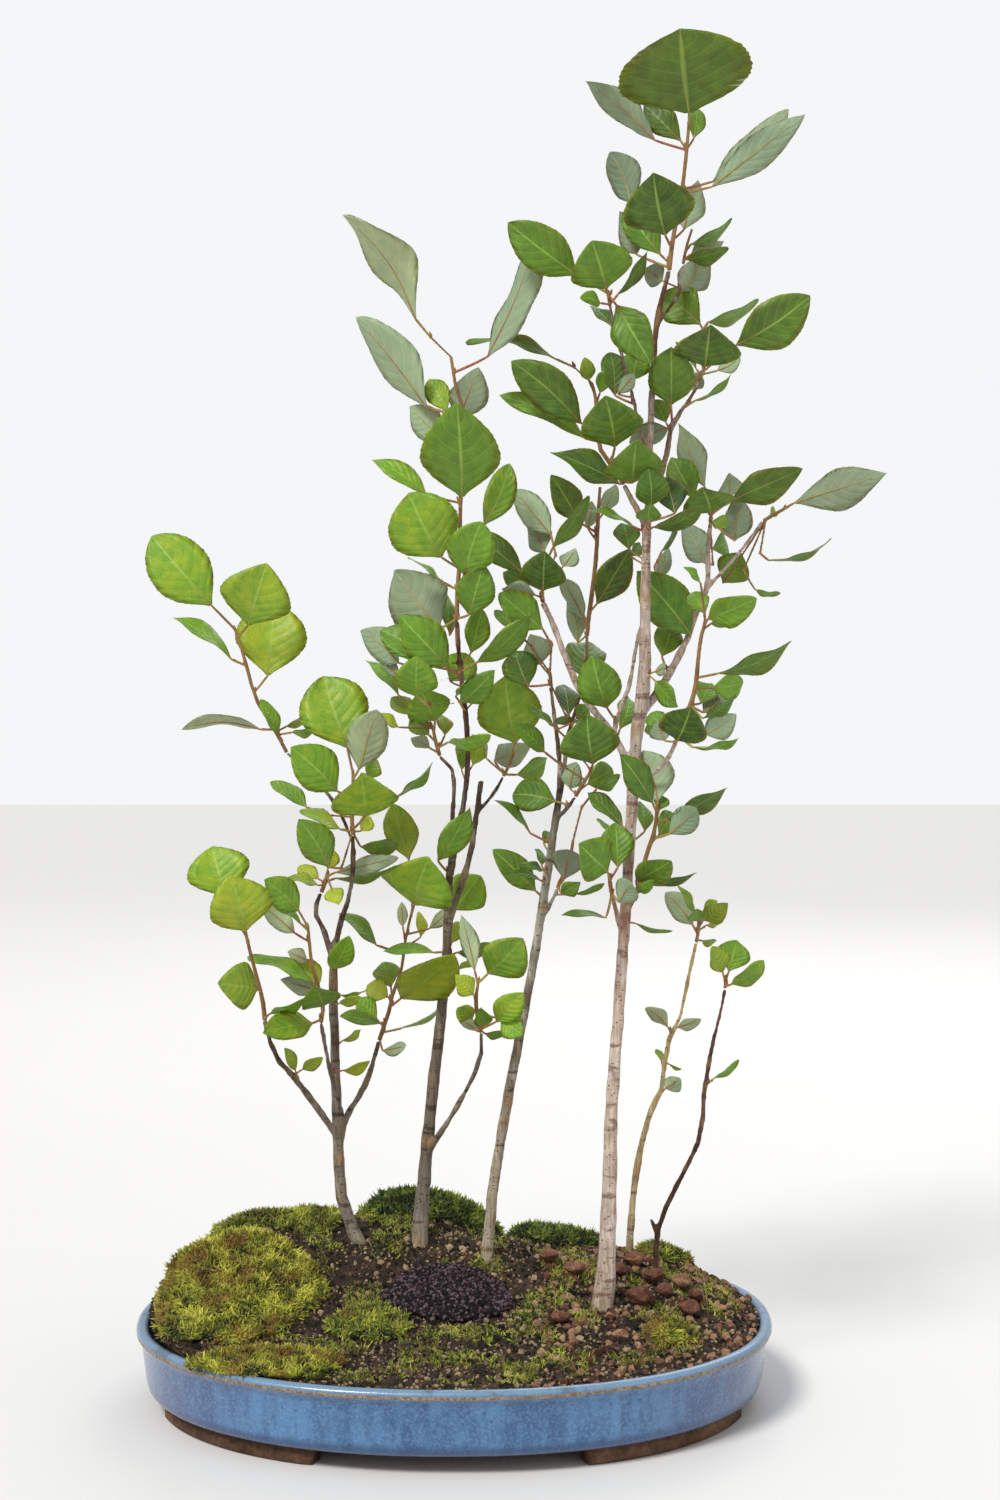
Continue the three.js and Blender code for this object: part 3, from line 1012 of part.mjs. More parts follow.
// A leaf slides towards or away from the viewing point, and turns a little, until its
// blade and petiole are clear of everything else.
const SLIDES = [0, -4, 4, -8, 8, -12, 12, -17, 17, -22, 22, -28, 28, -35, 35, -44, 44];
const TWISTS = [0, 14, -14];

function growLeaf(owner, limbs, gap, leaf) {
  const foot = footOn(limbs, gap, leaf);
  for (const slide of SLIDES) {
    for (const twist of TWISTS) {
      const turned = leaf.map((value, i) => (i === 5 ? value + twist : value));
      const frame = leafFrame(turned, foot, slide);
      const whole = leafSolid(frame);
      const core = leafSolid(frame, 0.5);
      if (isFree(owner, whole, core)) {
        settleIn(owner, whole, core);
        return whole;
      }
    }
  }
  console.warn("no room for a leaf of " + owner + " at " + leaf.slice(0, 2).join(", "));
  return null;
}

// A shoot's stalk, started just clear of the old wood that carries it.
function growStalk(points) {
  const detail = { sides: 5, steps: Math.round(points.length * 1.3) };
  let gap = GRAFT_GAP;
  let stalk = limb(points, { ...detail, from: gap });
  while (inPlace.some((other) => touches(stalk, other.solid)) && gap < GRAFT_REACH) {
    gap += GRAFT_STEP;
    stalk = limb(points, { ...detail, from: gap });
  }
  return { stalk, gap };
}

function limbDetail(points, first) {
  const thick = points[0].radius > 2.3;
  return { sides: thick ? 7 : 5, steps: Math.round(points.length * (first ? 1.2 : 1.4)) };
}

const grown = CUTTINGS.map((cutting) => {
  const limbs = cutting.wood.map((route) => routePoints(route, cutting.depth));
  const wood = unite(limbs.map((points, i) => limb(points, limbDetail(points, i === 0))));
  settleIn(cutting.name, wood, wood);
  const [trunk] = limbs;
  const deeper = trunk[0].spot.clone().setZ(trunk[0].spot.z - STEM_CLEARANCE);
  const sunk = [{ ...trunk[0], spot: deeper }, ...trunk.slice(1)];
  const hole = limb(sunk, { ...limbDetail(trunk, true), extra: STEM_CLEARANCE });
  return { cutting, limbs, wood, hole };
});

const stalks = grown.flatMap(({ cutting }) =>
  Object.entries(cutting.shoots).map(([letter, shoot]) => {
    const name = cutting.name + "_shoot_" + letter;
    const points = routePoints(shoot.route, cutting.depth);
    const { stalk, gap } = growStalk(points);
    settleIn(name, stalk, stalk);
    return { name, points, stalk, gap, leaves: shoot.leaves };
  }),
);

function leafed(name, limbs, gap, wood, leaves) {
  const blades = leaves.map((leaf) => growLeaf(name, limbs, gap, leaf)).filter(Boolean);
  return unite([wood, ...blades]);
}

// ---------------------------------------------------------------- the whole part

const grove = new THREE.Group();
const planting = new THREE.Group();
grove.add(planting);

planting.add(finish("tray", 0x4a7fae, 0.25, tray()));
planting.add(finish("drain_screen_left", 0x2c2f2e, 0.6, drainScreen(-DRAIN_OFFSET)));
planting.add(finish("drain_screen_right", 0x2c2f2e, 0.6, drainScreen(DRAIN_OFFSET)));
planting.add(finish("soil_mound", 0x3a3028, 0.95, soilMound(grown.map(({ hole }) => hole))));
const sleeves = unite(grown.map(({ hole }) => hole));
for (const { name, ...mat } of MOSS) {
  planting.add(finish(name, 0x7d8a2c, 0.95, cushion(mat).subtract(sleeves)));
}
planting.add(finish("grit_heap", 0x2b2628, 0.9, cushion(GRIT_HEAP).subtract(sleeves)));
CLAY_LUMPS.forEach((lump, i) => {
  planting.add(finish("clay_lump_" + (i + 1), 0xa5694c, 0.95, clayLump(lump, i)));
});
for (const { cutting, limbs, wood } of grown) {
  const solid = leafed(cutting.name, limbs, 0, wood, cutting.leaves);
  planting.add(finish(cutting.name + "_stem", 0x9c8a74, 0.85, solid));
}
for (const { name, points, stalk, gap, leaves } of stalks) {
  planting.add(finish(name, 0x6f9130, 0.5, leafed(name, [points], gap, stalk, leaves)));
}

// The origin moves to the bottom centre of the whole part.
grove.updateMatrixWorld(true);
const extent = new THREE.Box3().setFromObject(grove, true);
const centre = extent.getCenter(new THREE.Vector3());
planting.position.set(-centre.x, -centre.y, -extent.min.z);

export default grove;
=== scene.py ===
"""A grove of rooted poplar cuttings in a blue oval tray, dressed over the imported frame."""

import json
import logging
import math
import random
from dataclasses import dataclass, field
from enum import Enum
from typing import Callable, Iterable

import bmesh
import bpy
import numpy as np
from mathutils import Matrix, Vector, noise
from mathutils.bvhtree import BVHTree
from mathutils.kdtree import KDTree


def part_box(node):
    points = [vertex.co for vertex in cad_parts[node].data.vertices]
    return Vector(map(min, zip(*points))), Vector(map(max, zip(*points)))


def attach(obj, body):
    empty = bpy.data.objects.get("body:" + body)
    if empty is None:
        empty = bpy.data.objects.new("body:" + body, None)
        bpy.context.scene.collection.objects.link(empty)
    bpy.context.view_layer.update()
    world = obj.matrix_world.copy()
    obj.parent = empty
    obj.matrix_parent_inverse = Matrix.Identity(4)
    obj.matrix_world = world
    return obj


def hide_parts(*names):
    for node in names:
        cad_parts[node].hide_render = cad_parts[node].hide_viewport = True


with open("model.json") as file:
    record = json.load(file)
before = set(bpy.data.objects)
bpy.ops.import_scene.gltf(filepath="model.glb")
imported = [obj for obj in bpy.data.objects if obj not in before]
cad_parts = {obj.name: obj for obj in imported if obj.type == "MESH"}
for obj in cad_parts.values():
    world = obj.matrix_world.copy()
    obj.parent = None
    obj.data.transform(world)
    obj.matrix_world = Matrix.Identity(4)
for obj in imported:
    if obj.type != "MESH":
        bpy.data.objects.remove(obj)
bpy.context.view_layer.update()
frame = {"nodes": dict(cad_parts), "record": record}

SLOTS = {row["node"]: row["material_slot"] for row in frame["record"]["subparts"]}

LOG = logging.getLogger("grove")
BODY = "root"
MM = 0.001
TONE = "tone"
UP = Vector((0.0, 0.0, 1.0))

Colour = tuple[float, float, float, float]
Tone = tuple[float, float, float]
Face = tuple[int, ...]
Piece = bpy.types.Object
Material = bpy.types.Material
Node = bpy.types.Node
Socket = bpy.types.NodeSocket
Value = Socket | float | int | tuple


def tint(code: str) -> Colour:
    """Linear colour of a six-digit display colour."""
    parts = [int(code[i : i + 2], 16) / 255 for i in (0, 2, 4)]
    linear = [p / 12.92 if p <= 0.04045 else ((p + 0.055) / 1.055) ** 2.4 for p in parts]
    return (linear[0], linear[1], linear[2], 1.0)


# ------------------------------------------------------------------ node trees


class Wires:
    """Adds nodes to one tree and joins them."""

    def __init__(self, tree: bpy.types.NodeTree) -> None:
        """Keeps the tree."""
        self.tree = tree

    def add(self, kind: str, inputs: dict[str | int, Value] | None = None, **settings: object) -> Node:
        """Adds a node.

        Args:
            kind: The node's type name.
            inputs: Sockets or constants for its inputs, by name or index.
            settings: The node's own properties.

        Returns:
            The new node.
        """
        node = self.tree.nodes.new(kind)
        for name, value in settings.items():
            setattr(node, name, value)
        for key, value in (inputs or {}).items():
            self.feed(node.inputs[key], value)
        return node

    def feed(self, socket: Socket, value: Value) -> None:
        """Links a socket to an input, or sets the input to a constant."""
        if isinstance(value, bpy.types.NodeSocket):
            self.tree.links.new(value, socket)
        else:
            socket.default_value = value

    def math(self, operation: str, a: Value, b: Value = 0.0, clamp: bool = False) -> Socket:
        """Output of one Math node."""
        return self.add("ShaderNodeMath", {0: a, 1: b}, operation=operation, use_clamp=clamp).outputs[0]

    def times(self, a: Value, b: Value) -> Socket:
        """Product of two values."""
        return self.math("MULTIPLY", a, b)

    def plus(self, a: Value, b: Value) -> Socket:
        """Sum of two values."""
        return self.math("ADD", a, b)

    def minus(self, a: Value, b: Value) -> Socket:
        """Difference of two values."""
        return self.math("SUBTRACT", a, b)

    def span(self, value: Value, low: float, high: float, start: float = 0.0, end: float = 1.0) -> Socket:
        """Value moved smoothly from the range low..high to start..end."""
        inputs = {"Value": value, "From Min": low, "From Max": high, "To Min": start, "To Max": end}
        return self.add("ShaderNodeMapRange", inputs, interpolation_type="SMOOTHSTEP").outputs["Result"]

    def mix(self, share: Value, a: Value, b: Value, blend: str = "MIX") -> Socket:
        """Colour between a and b."""
        node = self.add("ShaderNodeMix", {0: share, 6: a, 7: b}, data_type="RGBA", blend_type=blend)
        return node.outputs[2]

    def ramp(self, value: Value, stops: Iterable[tuple[float, Colour]]) -> Socket:
        """Colour ramp through the stops."""
        node = self.add("ShaderNodeValToRGB", {"Fac": value})
        stops = list(stops)
        points = node.color_ramp.elements
        while len(points) < len(stops):
            points.new(1.0)
        for point, (place, colour) in zip(points, stops):
            point.position = place
            point.color = colour
        return node.outputs["Color"]

    def noise(self, vector: Value, scale: float, detail: float = 3.0, rough: float = 0.55) -> Socket:
        """Fractal noise from 0 to 1."""
        inputs = {"Vector": vector, "Scale": scale, "Detail": detail, "Roughness": rough}
        return self.add("ShaderNodeTexNoise", inputs).outputs[0]

    def cells(self, vector: Value, scale: float) -> Node:
        """Voronoi cells."""
        return self.add("ShaderNodeTexVoronoi", {"Vector": vector, "Scale": scale})

    def stretch(self, vector: Value, by: tuple[float, float, float]) -> Socket:
        """Vector with its axes scaled."""
        return self.add("ShaderNodeVectorMath", {0: vector, 1: by}, operation="MULTIPLY").outputs[0]

    def place(self) -> Socket:
        """Object coordinates."""
        return self.add("ShaderNodeTexCoord").outputs["Object"]

    def split(self, vector: Value) -> tuple[Socket, Socket, Socket]:
        """The three parts of a vector."""
        outputs = self.add("ShaderNodeSeparateXYZ", {0: vector}).outputs
        return outputs[0], outputs[1], outputs[2]

    def tone(self) -> tuple[Socket, Socket, Socket]:
        """Red, green and blue of the mesh's tone attribute."""
        colour = self.add("ShaderNodeAttribute", attribute_name=TONE).outputs["Color"]
        outputs = self.add("ShaderNodeSeparateColor", {0: colour}).outputs
        return outputs[0], outputs[1], outputs[2]

    def bump(self, height: Value, depth: float, strength: float = 0.6) -> Socket:
        """Normal tilted by a height in units of depth metres."""
        inputs = {"Height": height, "Distance": depth, "Strength": strength}
        return self.add("ShaderNodeBump", inputs).outputs[0]

    def group(self, name: str, inputs: dict[str, Value]) -> Node:
        """A node that uses a shared group."""
        node = self.add("ShaderNodeGroup", node_tree=bpy.data.node_groups[name])
        for key, value in inputs.items():
            self.feed(node.inputs[key], value)
        return node


def new_group(
    name: str, takes: dict[str, str], gives: tuple[str, ...]
) -> tuple[Wires, dict[str, Socket], Node]:
    """Starts a shared shader group.

    Args:
        name: The group's name.
        takes: Socket type of each input.
        gives: Names of its outputs, all numbers.

    Returns:
        The wires, the inputs' sockets inside the group, and the group's output node.
    """
    tree = bpy.data.node_groups.new(name, "ShaderNodeTree")
    for key, kind in takes.items():
        tree.interface.new_socket(name=key, in_out="INPUT", socket_type="NodeSocket" + kind)
    for key in gives:
        tree.interface.new_socket(name=key, in_out="OUTPUT", socket_type="NodeSocketFloat")
    wires = Wires(tree)
    entry = wires.add("NodeGroupInput")
    return wires, {key: entry.outputs[key] for key in takes}, wires.add("NodeGroupOutput")


def build_speckle_group() -> None:
    """Group "speckle": coarse patches, fine grain and sparse dots at any place."""
    takes = {"Place": "Vector", "Size": "Float"}
    w, take, out = new_group("speckle", takes, ("Patches", "Grain", "Dots"))
    scale = w.math("DIVIDE", 1.0, take["Size"])
    spread = w.add("ShaderNodeVectorMath", {0: take["Place"], 3: scale}, operation="SCALE").outputs[0]
    w.feed(out.inputs["Patches"], w.noise(spread, 0.35, 3))
    w.feed(out.inputs["Grain"], w.noise(spread, 2.5, 4, 0.65))
    w.feed(out.inputs["Dots"], w.span(w.cells(spread, 1.0).outputs["Distance"], 0.12, 0.3, 1.0, 0.0))


def build_vein_group() -> None:
    """Group "veins": a midrib and side veins of a blade laid out on its own map."""
    takes = {"Map": "Vector", "Pairs": "Float"}
    w, take, out = new_group("veins", takes, ("Rib", "Veins", "Quilt", "Across"))
    across, along, _ = w.split(take["Map"])
    side = w.times(w.math("ABSOLUTE", w.minus(across, 0.5)), 2.0)
    sweep = w.minus(along, w.times(w.math("POWER", side, 1.25), 0.3))
    phase = w.math("FRACT", w.times(w.plus(sweep, 0.3), take["Pairs"]))
    away = w.math("ABSOLUTE", w.minus(phase, 0.5))
    w.feed(out.inputs["Rib"], w.span(side, 0.015, 0.06, 1.0, 0.0))
    w.feed(out.inputs["Veins"], w.span(away, 0.01, 0.08, 1.0, 0.0))
    w.feed(out.inputs["Quilt"], w.math("SINE", w.times(away, math.pi)))
    w.feed(out.inputs["Across"], side)


def build_bark_group() -> None:
    """Group "bark": blotches, upright wrinkles and crosswise pores on a stem."""
    w, take, out = new_group("bark", {"Place": "Vector"}, ("Blotch", "Wrinkle", "Pores", "Scars"))
    place = take["Place"]
    w.feed(out.inputs["Blotch"], w.noise(w.stretch(place, (1, 1, 0.45)), 110.0, 4, 0.6))
    w.feed(out.inputs["Wrinkle"], w.noise(w.stretch(place, (1, 1, 0.12)), 900.0, 4, 0.6))
    pores = w.cells(w.stretch(place, (1, 1, 1.7)), 330.0).outputs["Distance"]
    w.feed(out.inputs["Pores"], w.span(pores, 0.12, 0.24, 1.0, 0.0))
    w.feed(out.inputs["Scars"], w.noise(w.stretch(place, (0.5, 0.5, 2.2)), 95.0, 3, 0.6))


def new_material(name: str) -> tuple[Material, Wires, Node]:
    """A material with a Principled BSDF, its wires and its shader node."""
    material = bpy.data.materials.new(name)
    material.use_nodes = True
    return material, Wires(material.node_tree), material.node_tree.nodes["Principled BSDF"]


# ------------------------------------------------------------------ finishes


@dataclass(frozen=True)
class GlazeFinish:
    """Streaked blue glaze, thin on the rim and thick at the foot of the wall, with painted shade that
    greys it towards its curving ends.

    A band is a pair of heights above the table, or of distances from the middle, in metres.
    """

    light: str = "4f80ad"
    deep: str = "2a5584"
    # Painted shade: the colour that greys the glaze towards the curving ends.
    end_shade: str = "565478"
    rim: str = "7695b0"
    bare: str = "6b5237"
    roughness: float = 0.22
    end_shade_band: tuple[float, float] = (0.07, 0.15)
    dot_band: tuple[float, float] = (0.011, 0.033)
    foot_band: tuple[float, float] = (0.0155, 0.0115)
    rim_band: tuple[float, float] = (0.0368, 0.0392)
    stain_band: tuple[float, float] = (0.036, 0.039)
    lip_line: float = 0.0364
    line_waver: float = 0.0012

    def material(self) -> Material:
        """The glaze's material: the map's second coordinate runs down the tray's outside."""
        material, w, shader = new_material("blue_glaze")
        place = w.place()
        x, _, z = w.split(place)
        around, down, _ = w.split(w.add("ShaderNodeTexCoord").outputs["UV"])
        fall = {0: w.times(around, 60.0), 1: w.times(down, 1.6)}
        streaks = w.noise(w.add("ShaderNodeCombineXYZ", fall).outputs[0], 1.6, 4, 0.6)
        grain = w.group("speckle", {"Place": place, "Size": 0.0035})
        body = w.mix(w.span(streaks, 0.34, 0.68), tint(self.deep), tint(self.light))
        middle = (CAD_TRAY[0].x + CAD_TRAY[1].x) / 2
        # Painted shade: the glaze is greyed towards the curving ends of the oval, which turn away from the
        # light.
        ends = w.math("ABSOLUTE", w.minus(x, middle))
        body = w.mix(w.span(ends, *self.end_shade_band, 0.0, 0.55), body, tint(self.end_shade))
        dots = w.times(grain.outputs["Dots"], w.span(z, *self.dot_band, 0.2, 0.75))
        body = w.mix(dots, body, tint("1d3f6c"))
        body = w.mix(w.span(grain.outputs["Grain"], 0.45, 0.62, 0.0, 0.4), body, tint("6f95bf"))
        body = w.mix(w.span(z, *self.foot_band, 0.0, 0.7), body, tint("203f6d"))
        body = w.mix(w.span(z, *self.rim_band, 0.0, 0.85), body, tint(self.rim))
        stained = w.span(w.noise(place, 70.0, 4, 0.7), 0.52, 0.66, 0.0, 0.55)
        body = w.mix(w.times(stained, w.span(z, *self.stain_band)), body, tint("45505c"))
        level = w.plus(self.lip_line, w.times(streaks, self.line_waver))
        thin = w.math("ABSOLUTE", w.minus(z, level))
        line = w.times(w.span(thin, 0.0005, 0.0011, 1.0, 0.0), w.span(streaks, 0.3, 0.55, 0.6, 1.0))
        clay = w.mix(w.span(grain.outputs["Grain"], 0.4, 0.6), tint("a08a66"), tint(self.bare))
        body = w.mix(line, body, clay)
        w.feed(shader.inputs["Base Color"], body)
        worn = w.plus(line, grain.outputs["Grain"])
        w.feed(shader.inputs["Roughness"], w.span(worn, 0.3, 1.3, self.roughness, 0.6))
        shader.inputs["Coat Weight"].default_value = 0.5
        shader.inputs["Coat Roughness"].default_value = 0.12
        height = w.plus(w.times(streaks, 0.7), w.times(grain.outputs["Grain"], 0.5))
        w.feed(shader.inputs["Normal"], w.bump(height, 0.0006, 0.5))
        return material


@dataclass(frozen=True)
class EarthFinish:
    """Unglazed clay, soil, grit or clods: mottled, rough and matt."""

    name: str
    low: str
    mid: str
    high: str
    size: float = 0.004
    depth: float = 0.0008
    by_piece: float = 0.0
    roughness: float = 0.9

    def material(self) -> Material:
        """The finish as a material; by_piece is how far each grain's own tone counts."""
        material, w, shader = new_material(self.name)
        place = w.place()
        speckle = w.group("speckle", {"Place": place, "Size": self.size})
        red, _, _ = w.tone()
        spread = w.times(speckle.outputs["Patches"], 1.0 - self.by_piece)
        mixed = w.plus(spread, w.times(red, self.by_piece))
        mixed = w.plus(mixed, w.span(speckle.outputs["Grain"], 0.3, 0.7, -0.12, 0.12))
        body = w.ramp(mixed, [(0.22, tint(self.low)), (0.5, tint(self.mid)), (0.82, tint(self.high))])
        body = w.mix(w.times(speckle.outputs["Dots"], 0.35), body, tint(self.low))
        w.feed(shader.inputs["Base Color"], body)
        rough = w.span(speckle.outputs["Grain"], 0.2, 0.8, self.roughness, self.roughness - 0.2)
        w.feed(shader.inputs["Roughness"], rough)
        shader.inputs["Specular IOR Level"].default_value = 0.25
        w.feed(shader.inputs["Normal"], w.bump(speckle.outputs["Grain"], self.depth, 0.8))
        return material


@dataclass(frozen=True)
class MossFinish:
    """Moss: its shoots pass from a dark foot to a bright tip."""

    name: str
    foot: str
    mid: str
    tip: str
    old: str
    old_share: float = 0.5

    def material(self) -> Material:
        """The moss's material; the tone's red is height on a shoot, green its own tint."""
        material, w, shader = new_material(self.name)
        red, green, _ = w.tone()
        patches = w.noise(w.place(), 90.0, 3, 0.6)
        share = w.plus(w.times(red, 0.6), w.times(green, 0.5))
        share = w.plus(share, w.span(patches, 0.3, 0.7, -0.3, 0.25))
        body = w.ramp(share, [(0.14, tint(self.foot)), (0.5, tint(self.mid)), (0.95, tint(self.tip))])
        aged = w.plus(w.noise(w.place(), 55.0, 4, 0.65), w.times(w.minus(green, 0.5), 0.22))
        body = w.mix(w.span(aged, 0.5, 0.64, 0.0, self.old_share), body, tint(self.old))
        w.feed(shader.inputs["Base Color"], body)
        w.feed(shader.inputs["Roughness"], w.span(patches, 0.2, 0.8, 0.95, 0.7))
        shader.inputs["Specular IOR Level"].default_value = 0.2
        shader.inputs["Sheen Weight"].default_value = 0.25
        w.feed(shader.inputs["Normal"], w.bump(w.noise(w.place(), 1800.0, 3), 0.0004, 0.6))
        return material


@dataclass(frozen=True)
class BarkFinish:
    """Bark whose ground colour changes with height above the table."""

    name: str
    stops: tuple[tuple[float, str], ...]
    spots: str
    pale: str
    blotch: float = 0.5

    def material(self) -> Material:
        """The bark's material; stops are heights in metres and display colours."""
        material, w, shader = new_material(self.name)
        place = w.place()
        _, _, z = w.split(place)
        bark = w.group("bark", {"Place": place})
        low, high = self.stops[0][0], self.stops[-1][0]
        climb = w.plus(z, w.span(bark.outputs["Blotch"], 0.2, 0.8, -0.018, 0.018))
        share = w.math("DIVIDE", w.minus(climb, low), high - low)
        ground = w.ramp(share, [((stop - low) / (high - low), tint(code)) for stop, code in self.stops])
        patches = w.span(bark.outputs["Blotch"], 0.46, 0.68, 0.0, self.blotch)
        ground = w.mix(patches, ground, tint(self.pale))
        ground = w.mix(w.times(bark.outputs["Pores"], 0.85), ground, tint(self.spots))
        ground = w.mix(w.span(bark.outputs["Scars"], 0.56, 0.66, 0.0, 0.7), ground, tint(self.spots))
        _, green, _ = w.tone()
        ground = w.mix(w.times(green, 0.75), ground, tint("a8865c"))
        fine = w.span(bark.outputs["Wrinkle"], 0.32, 0.68, 0.66, 1.16)
        bright = w.add("ShaderNodeHueSaturation", {"Value": fine, "Color": ground}).outputs[0]
        w.feed(shader.inputs["Base Color"], bright)
        w.feed(shader.inputs["Roughness"], w.span(bark.outputs["Wrinkle"], 0.2, 0.8, 0.85, 0.6))
        shader.inputs["Specular IOR Level"].default_value = 0.3
        height = w.plus(w.times(bark.outputs["Wrinkle"], 0.6), w.times(bark.outputs["Pores"], 0.8))
        w.feed(shader.inputs["Normal"], w.bump(w.plus(height, bark.outputs["Blotch"]), 0.0007, 0.7))
        return material


class LeafFace(Enum):
    """The two sides of a blade."""

    UPPER = "upper"
    UNDER = "under"


@dataclass(frozen=True)
class LeafFinish:
    """One side of the blades; the tone's red runs from young to deep green."""

    side: LeafFace
    young: str
    fresh: str
    deep: str
    vein: str
    pairs: float = 7.0
    vein_share: float = 0.2
    roughness: float = 0.4

    def material(self) -> Material:
        """The blade's material with a pale midrib, side veins and a quilted surface."""
        material, w, shader = new_material("blade_" + self.side.value)
        veins = w.group("veins", {"Map": w.add("ShaderNodeTexCoord").outputs["UV"], "Pairs": self.pairs})
        red, green, blue = w.tone()
        place = w.place()
        cloud = w.noise(place, 160.0, 3)
        share = w.plus(red, w.span(cloud, 0.25, 0.75, -0.1, 0.1))
        stops = ((0.02, self.young), (0.36, self.fresh), (0.95, self.deep))
        body = w.ramp(share, [(stop, tint(code)) for stop, code in stops])
        body = w.mix(w.span(veins.outputs["Across"], 0.85, 1.0, 0.0, 0.3), body, tint(self.young))
        fine = w.cells(place, 1400.0).outputs["Distance"]
        body = w.mix(w.span(fine, 0.3, 0.6, 0.0, 0.18), body, tint(self.deep))
        fading = w.span(veins.outputs["Across"], 0.6, 1.0, self.vein_share, 0.03)
        lines = w.times(veins.outputs["Veins"], fading)
        body = w.mix(w.math("MAXIMUM", lines, w.times(veins.outputs["Rib"], 0.6)), body, tint(self.vein))
        body = w.mix(w.times(blue, 0.8), body, tint("8a5a2c"))
        bright = w.span(green, 0.0, 1.0, 0.82, 1.18)
        light = w.add("ShaderNodeHueSaturation", {"Value": bright, "Color": body})
        w.feed(shader.inputs["Base Color"], light.outputs[0])
        w.feed(shader.inputs["Roughness"], w.span(cloud, 0.2, 0.8, self.roughness, self.roughness + 0.16))
        shader.inputs["Subsurface Weight"].default_value = 0.12
        shader.inputs["Subsurface Scale"].default_value = 0.002
        shader.inputs["Specular IOR Level"].default_value = 0.45
        lift = 1.0 if self.side is LeafFace.UPPER else -1.0
        height = w.minus(veins.outputs["Quilt"], w.times(lines, 0.6 * lift))
        height = w.plus(height, w.times(fine, 0.25))
        w.feed(shader.inputs["Normal"], w.bump(height, 0.0005, 0.45))
        return material


@dataclass(frozen=True)
class StalkFinish:
    """Petioles, young stalks and buds: green flushed with red."""

    name: str
    green: str
    flush: str
    share: float = 0.5
    roughness: float = 0.45

    def material(self) -> Material:
        """The stalk's material; the tone's green moves it between its two colours."""
        material, w, shader = new_material(self.name)
        place = w.place()
        _, own, _ = w.tone()
        cloud = w.noise(w.stretch(place, (1, 1, 0.5)), 130.0, 3)
        share = w.plus(w.span(cloud, 0.25, 0.75, -0.35, 0.35), w.times(own, 0.6))
        flushed = w.math("ADD", share, self.share - 0.3, clamp=True)
        body = w.mix(flushed, tint(self.green), tint(self.flush))
        dots = w.span(w.cells(place, 900.0).outputs["Distance"], 0.1, 0.25, 1.0, 0.0)
        body = w.mix(w.times(dots, 0.4), body, tint("d8b98c"))
        w.feed(shader.inputs["Base Color"], body)
        w.feed(shader.inputs["Roughness"], w.span(cloud, 0.2, 0.8, self.roughness, self.roughness + 0.2))
        ridges = w.noise(w.stretch(place, (1, 1, 0.2)), 1500.0, 3)
        w.feed(shader.inputs["Normal"], w.bump(ridges, 0.0003, 0.6))
        return material


# ------------------------------------------------------------------ meshes


def placed(name: str, data: bpy.types.ID) -> Piece:
    """A new object in the scene around a mesh, light or camera."""
    piece = bpy.data.objects.new(name, data)
    bpy.context.scene.collection.objects.link(piece)
    return piece


def numbers(items: bpy.types.bpy_prop_collection, key: str, width: int = 1) -> np.ndarray:
    """One property of every vertex, corner or attribute entry, as rows of a given width."""
    values = np.zeros(len(items) * width)
    items.foreach_get(key, values)
    return values.reshape(-1, width) if width > 1 else values


def write_tones(mesh: bpy.types.Mesh, tones: np.ndarray) -> None:
    """Writes the tone attribute, one colour for each vertex."""
    attribute = mesh.color_attributes.new(TONE, "FLOAT_COLOR", "POINT")
    attribute.data.foreach_set("color", np.asarray(tones, dtype=np.float32).ravel())


def band_faces(rings: int, count: int, first: int = 0, turned: bool = False) -> list[Face]:
    """Quads between closed rings of vertices that follow each other.

    Args:
        rings: How many rings of quads there are.
        count: Vertices on one ring.
        first: Index of the first vertex.
        turned: Whether the quads face the other way.

    Returns:
        The quads.
    """
    faces: list[Face] = []
    for i in range(rings):
        for k in range(count):
            a, b = first + i * count + k, first + i * count + (k + 1) % count
            faces.append((a, b, b + count, a + count) if turned else (a, a + count, b + count, b))
    return faces


@dataclass
class MeshDraft:
    """Vertices and faces of one piece while it is being built."""

    points: list[tuple[float, float, float]] = field(default_factory=list)
    faces: list[Face] = field(default_factory=list)
    slots: list[int] = field(default_factory=list)
    tones: list[Colour] = field(default_factory=list)
    maps: list[tuple[float, float]] = field(default_factory=list)

    def add(self, points: Iterable[Iterable[float]], faces: Iterable[Face], slot: int = 0,
            tone: Tone = (0.5, 0.5, 0.0), maps: list[tuple[float, float]] | None = None,
            tones: list[Colour] | None = None) -> None:
        """Adds a closed shell.

        Args:
            points: Its vertices in metres.
            faces: Its faces, counted from its own first vertex.
            slot: The material slot of all its faces.
            tone: One tone for the whole shell.
            maps: A map coordinate for each vertex.
            tones: A tone for each vertex, in place of the single one.
        """
        first = len(self.points)
        self.points.extend(tuple(p) for p in points)
        count = len(self.points) - first
        for face in faces:
            self.faces.append(tuple(first + i for i in face))
            self.slots.append(slot)
        self.tones.extend(tones or [(*tone, 1.0)] * count)
        self.maps.extend(maps or [(0.5, 0.5)] * count)

    def build(self, name: str, materials: list[Material], smooth: bool = True) -> Piece:
        """The draft as an object at the origin."""
        mesh = bpy.data.meshes.new(name)
        mesh.from_pydata(self.points, [], self.faces)
        mesh.polygons.foreach_set("material_index", self.slots)
        mesh.polygons.foreach_set("use_smooth", [smooth] * len(self.faces))
        write_tones(mesh, self.tones)
        layer = mesh.uv_layers.new(name="map")
        corners = numbers(mesh.loops, "vertex_index").astype(int)
        layer.data.foreach_set("uv", np.array(self.maps, dtype=np.float32)[corners].ravel())
        for material in materials:
            mesh.materials.append(material)
        mesh.update()
        return placed(name, mesh)


def merged_copy(node: str) -> bmesh.types.BMesh:
    """A CAD node's mesh as a bmesh with its corners merged."""
    bm = bmesh.new()
    bm.from_mesh(frame["nodes"][node].data)
    bmesh.ops.remove_doubles(bm, verts=bm.verts, dist=3e-6)
    bm.verts.ensure_lookup_table()
    bm.faces.ensure_lookup_table()
    return bm


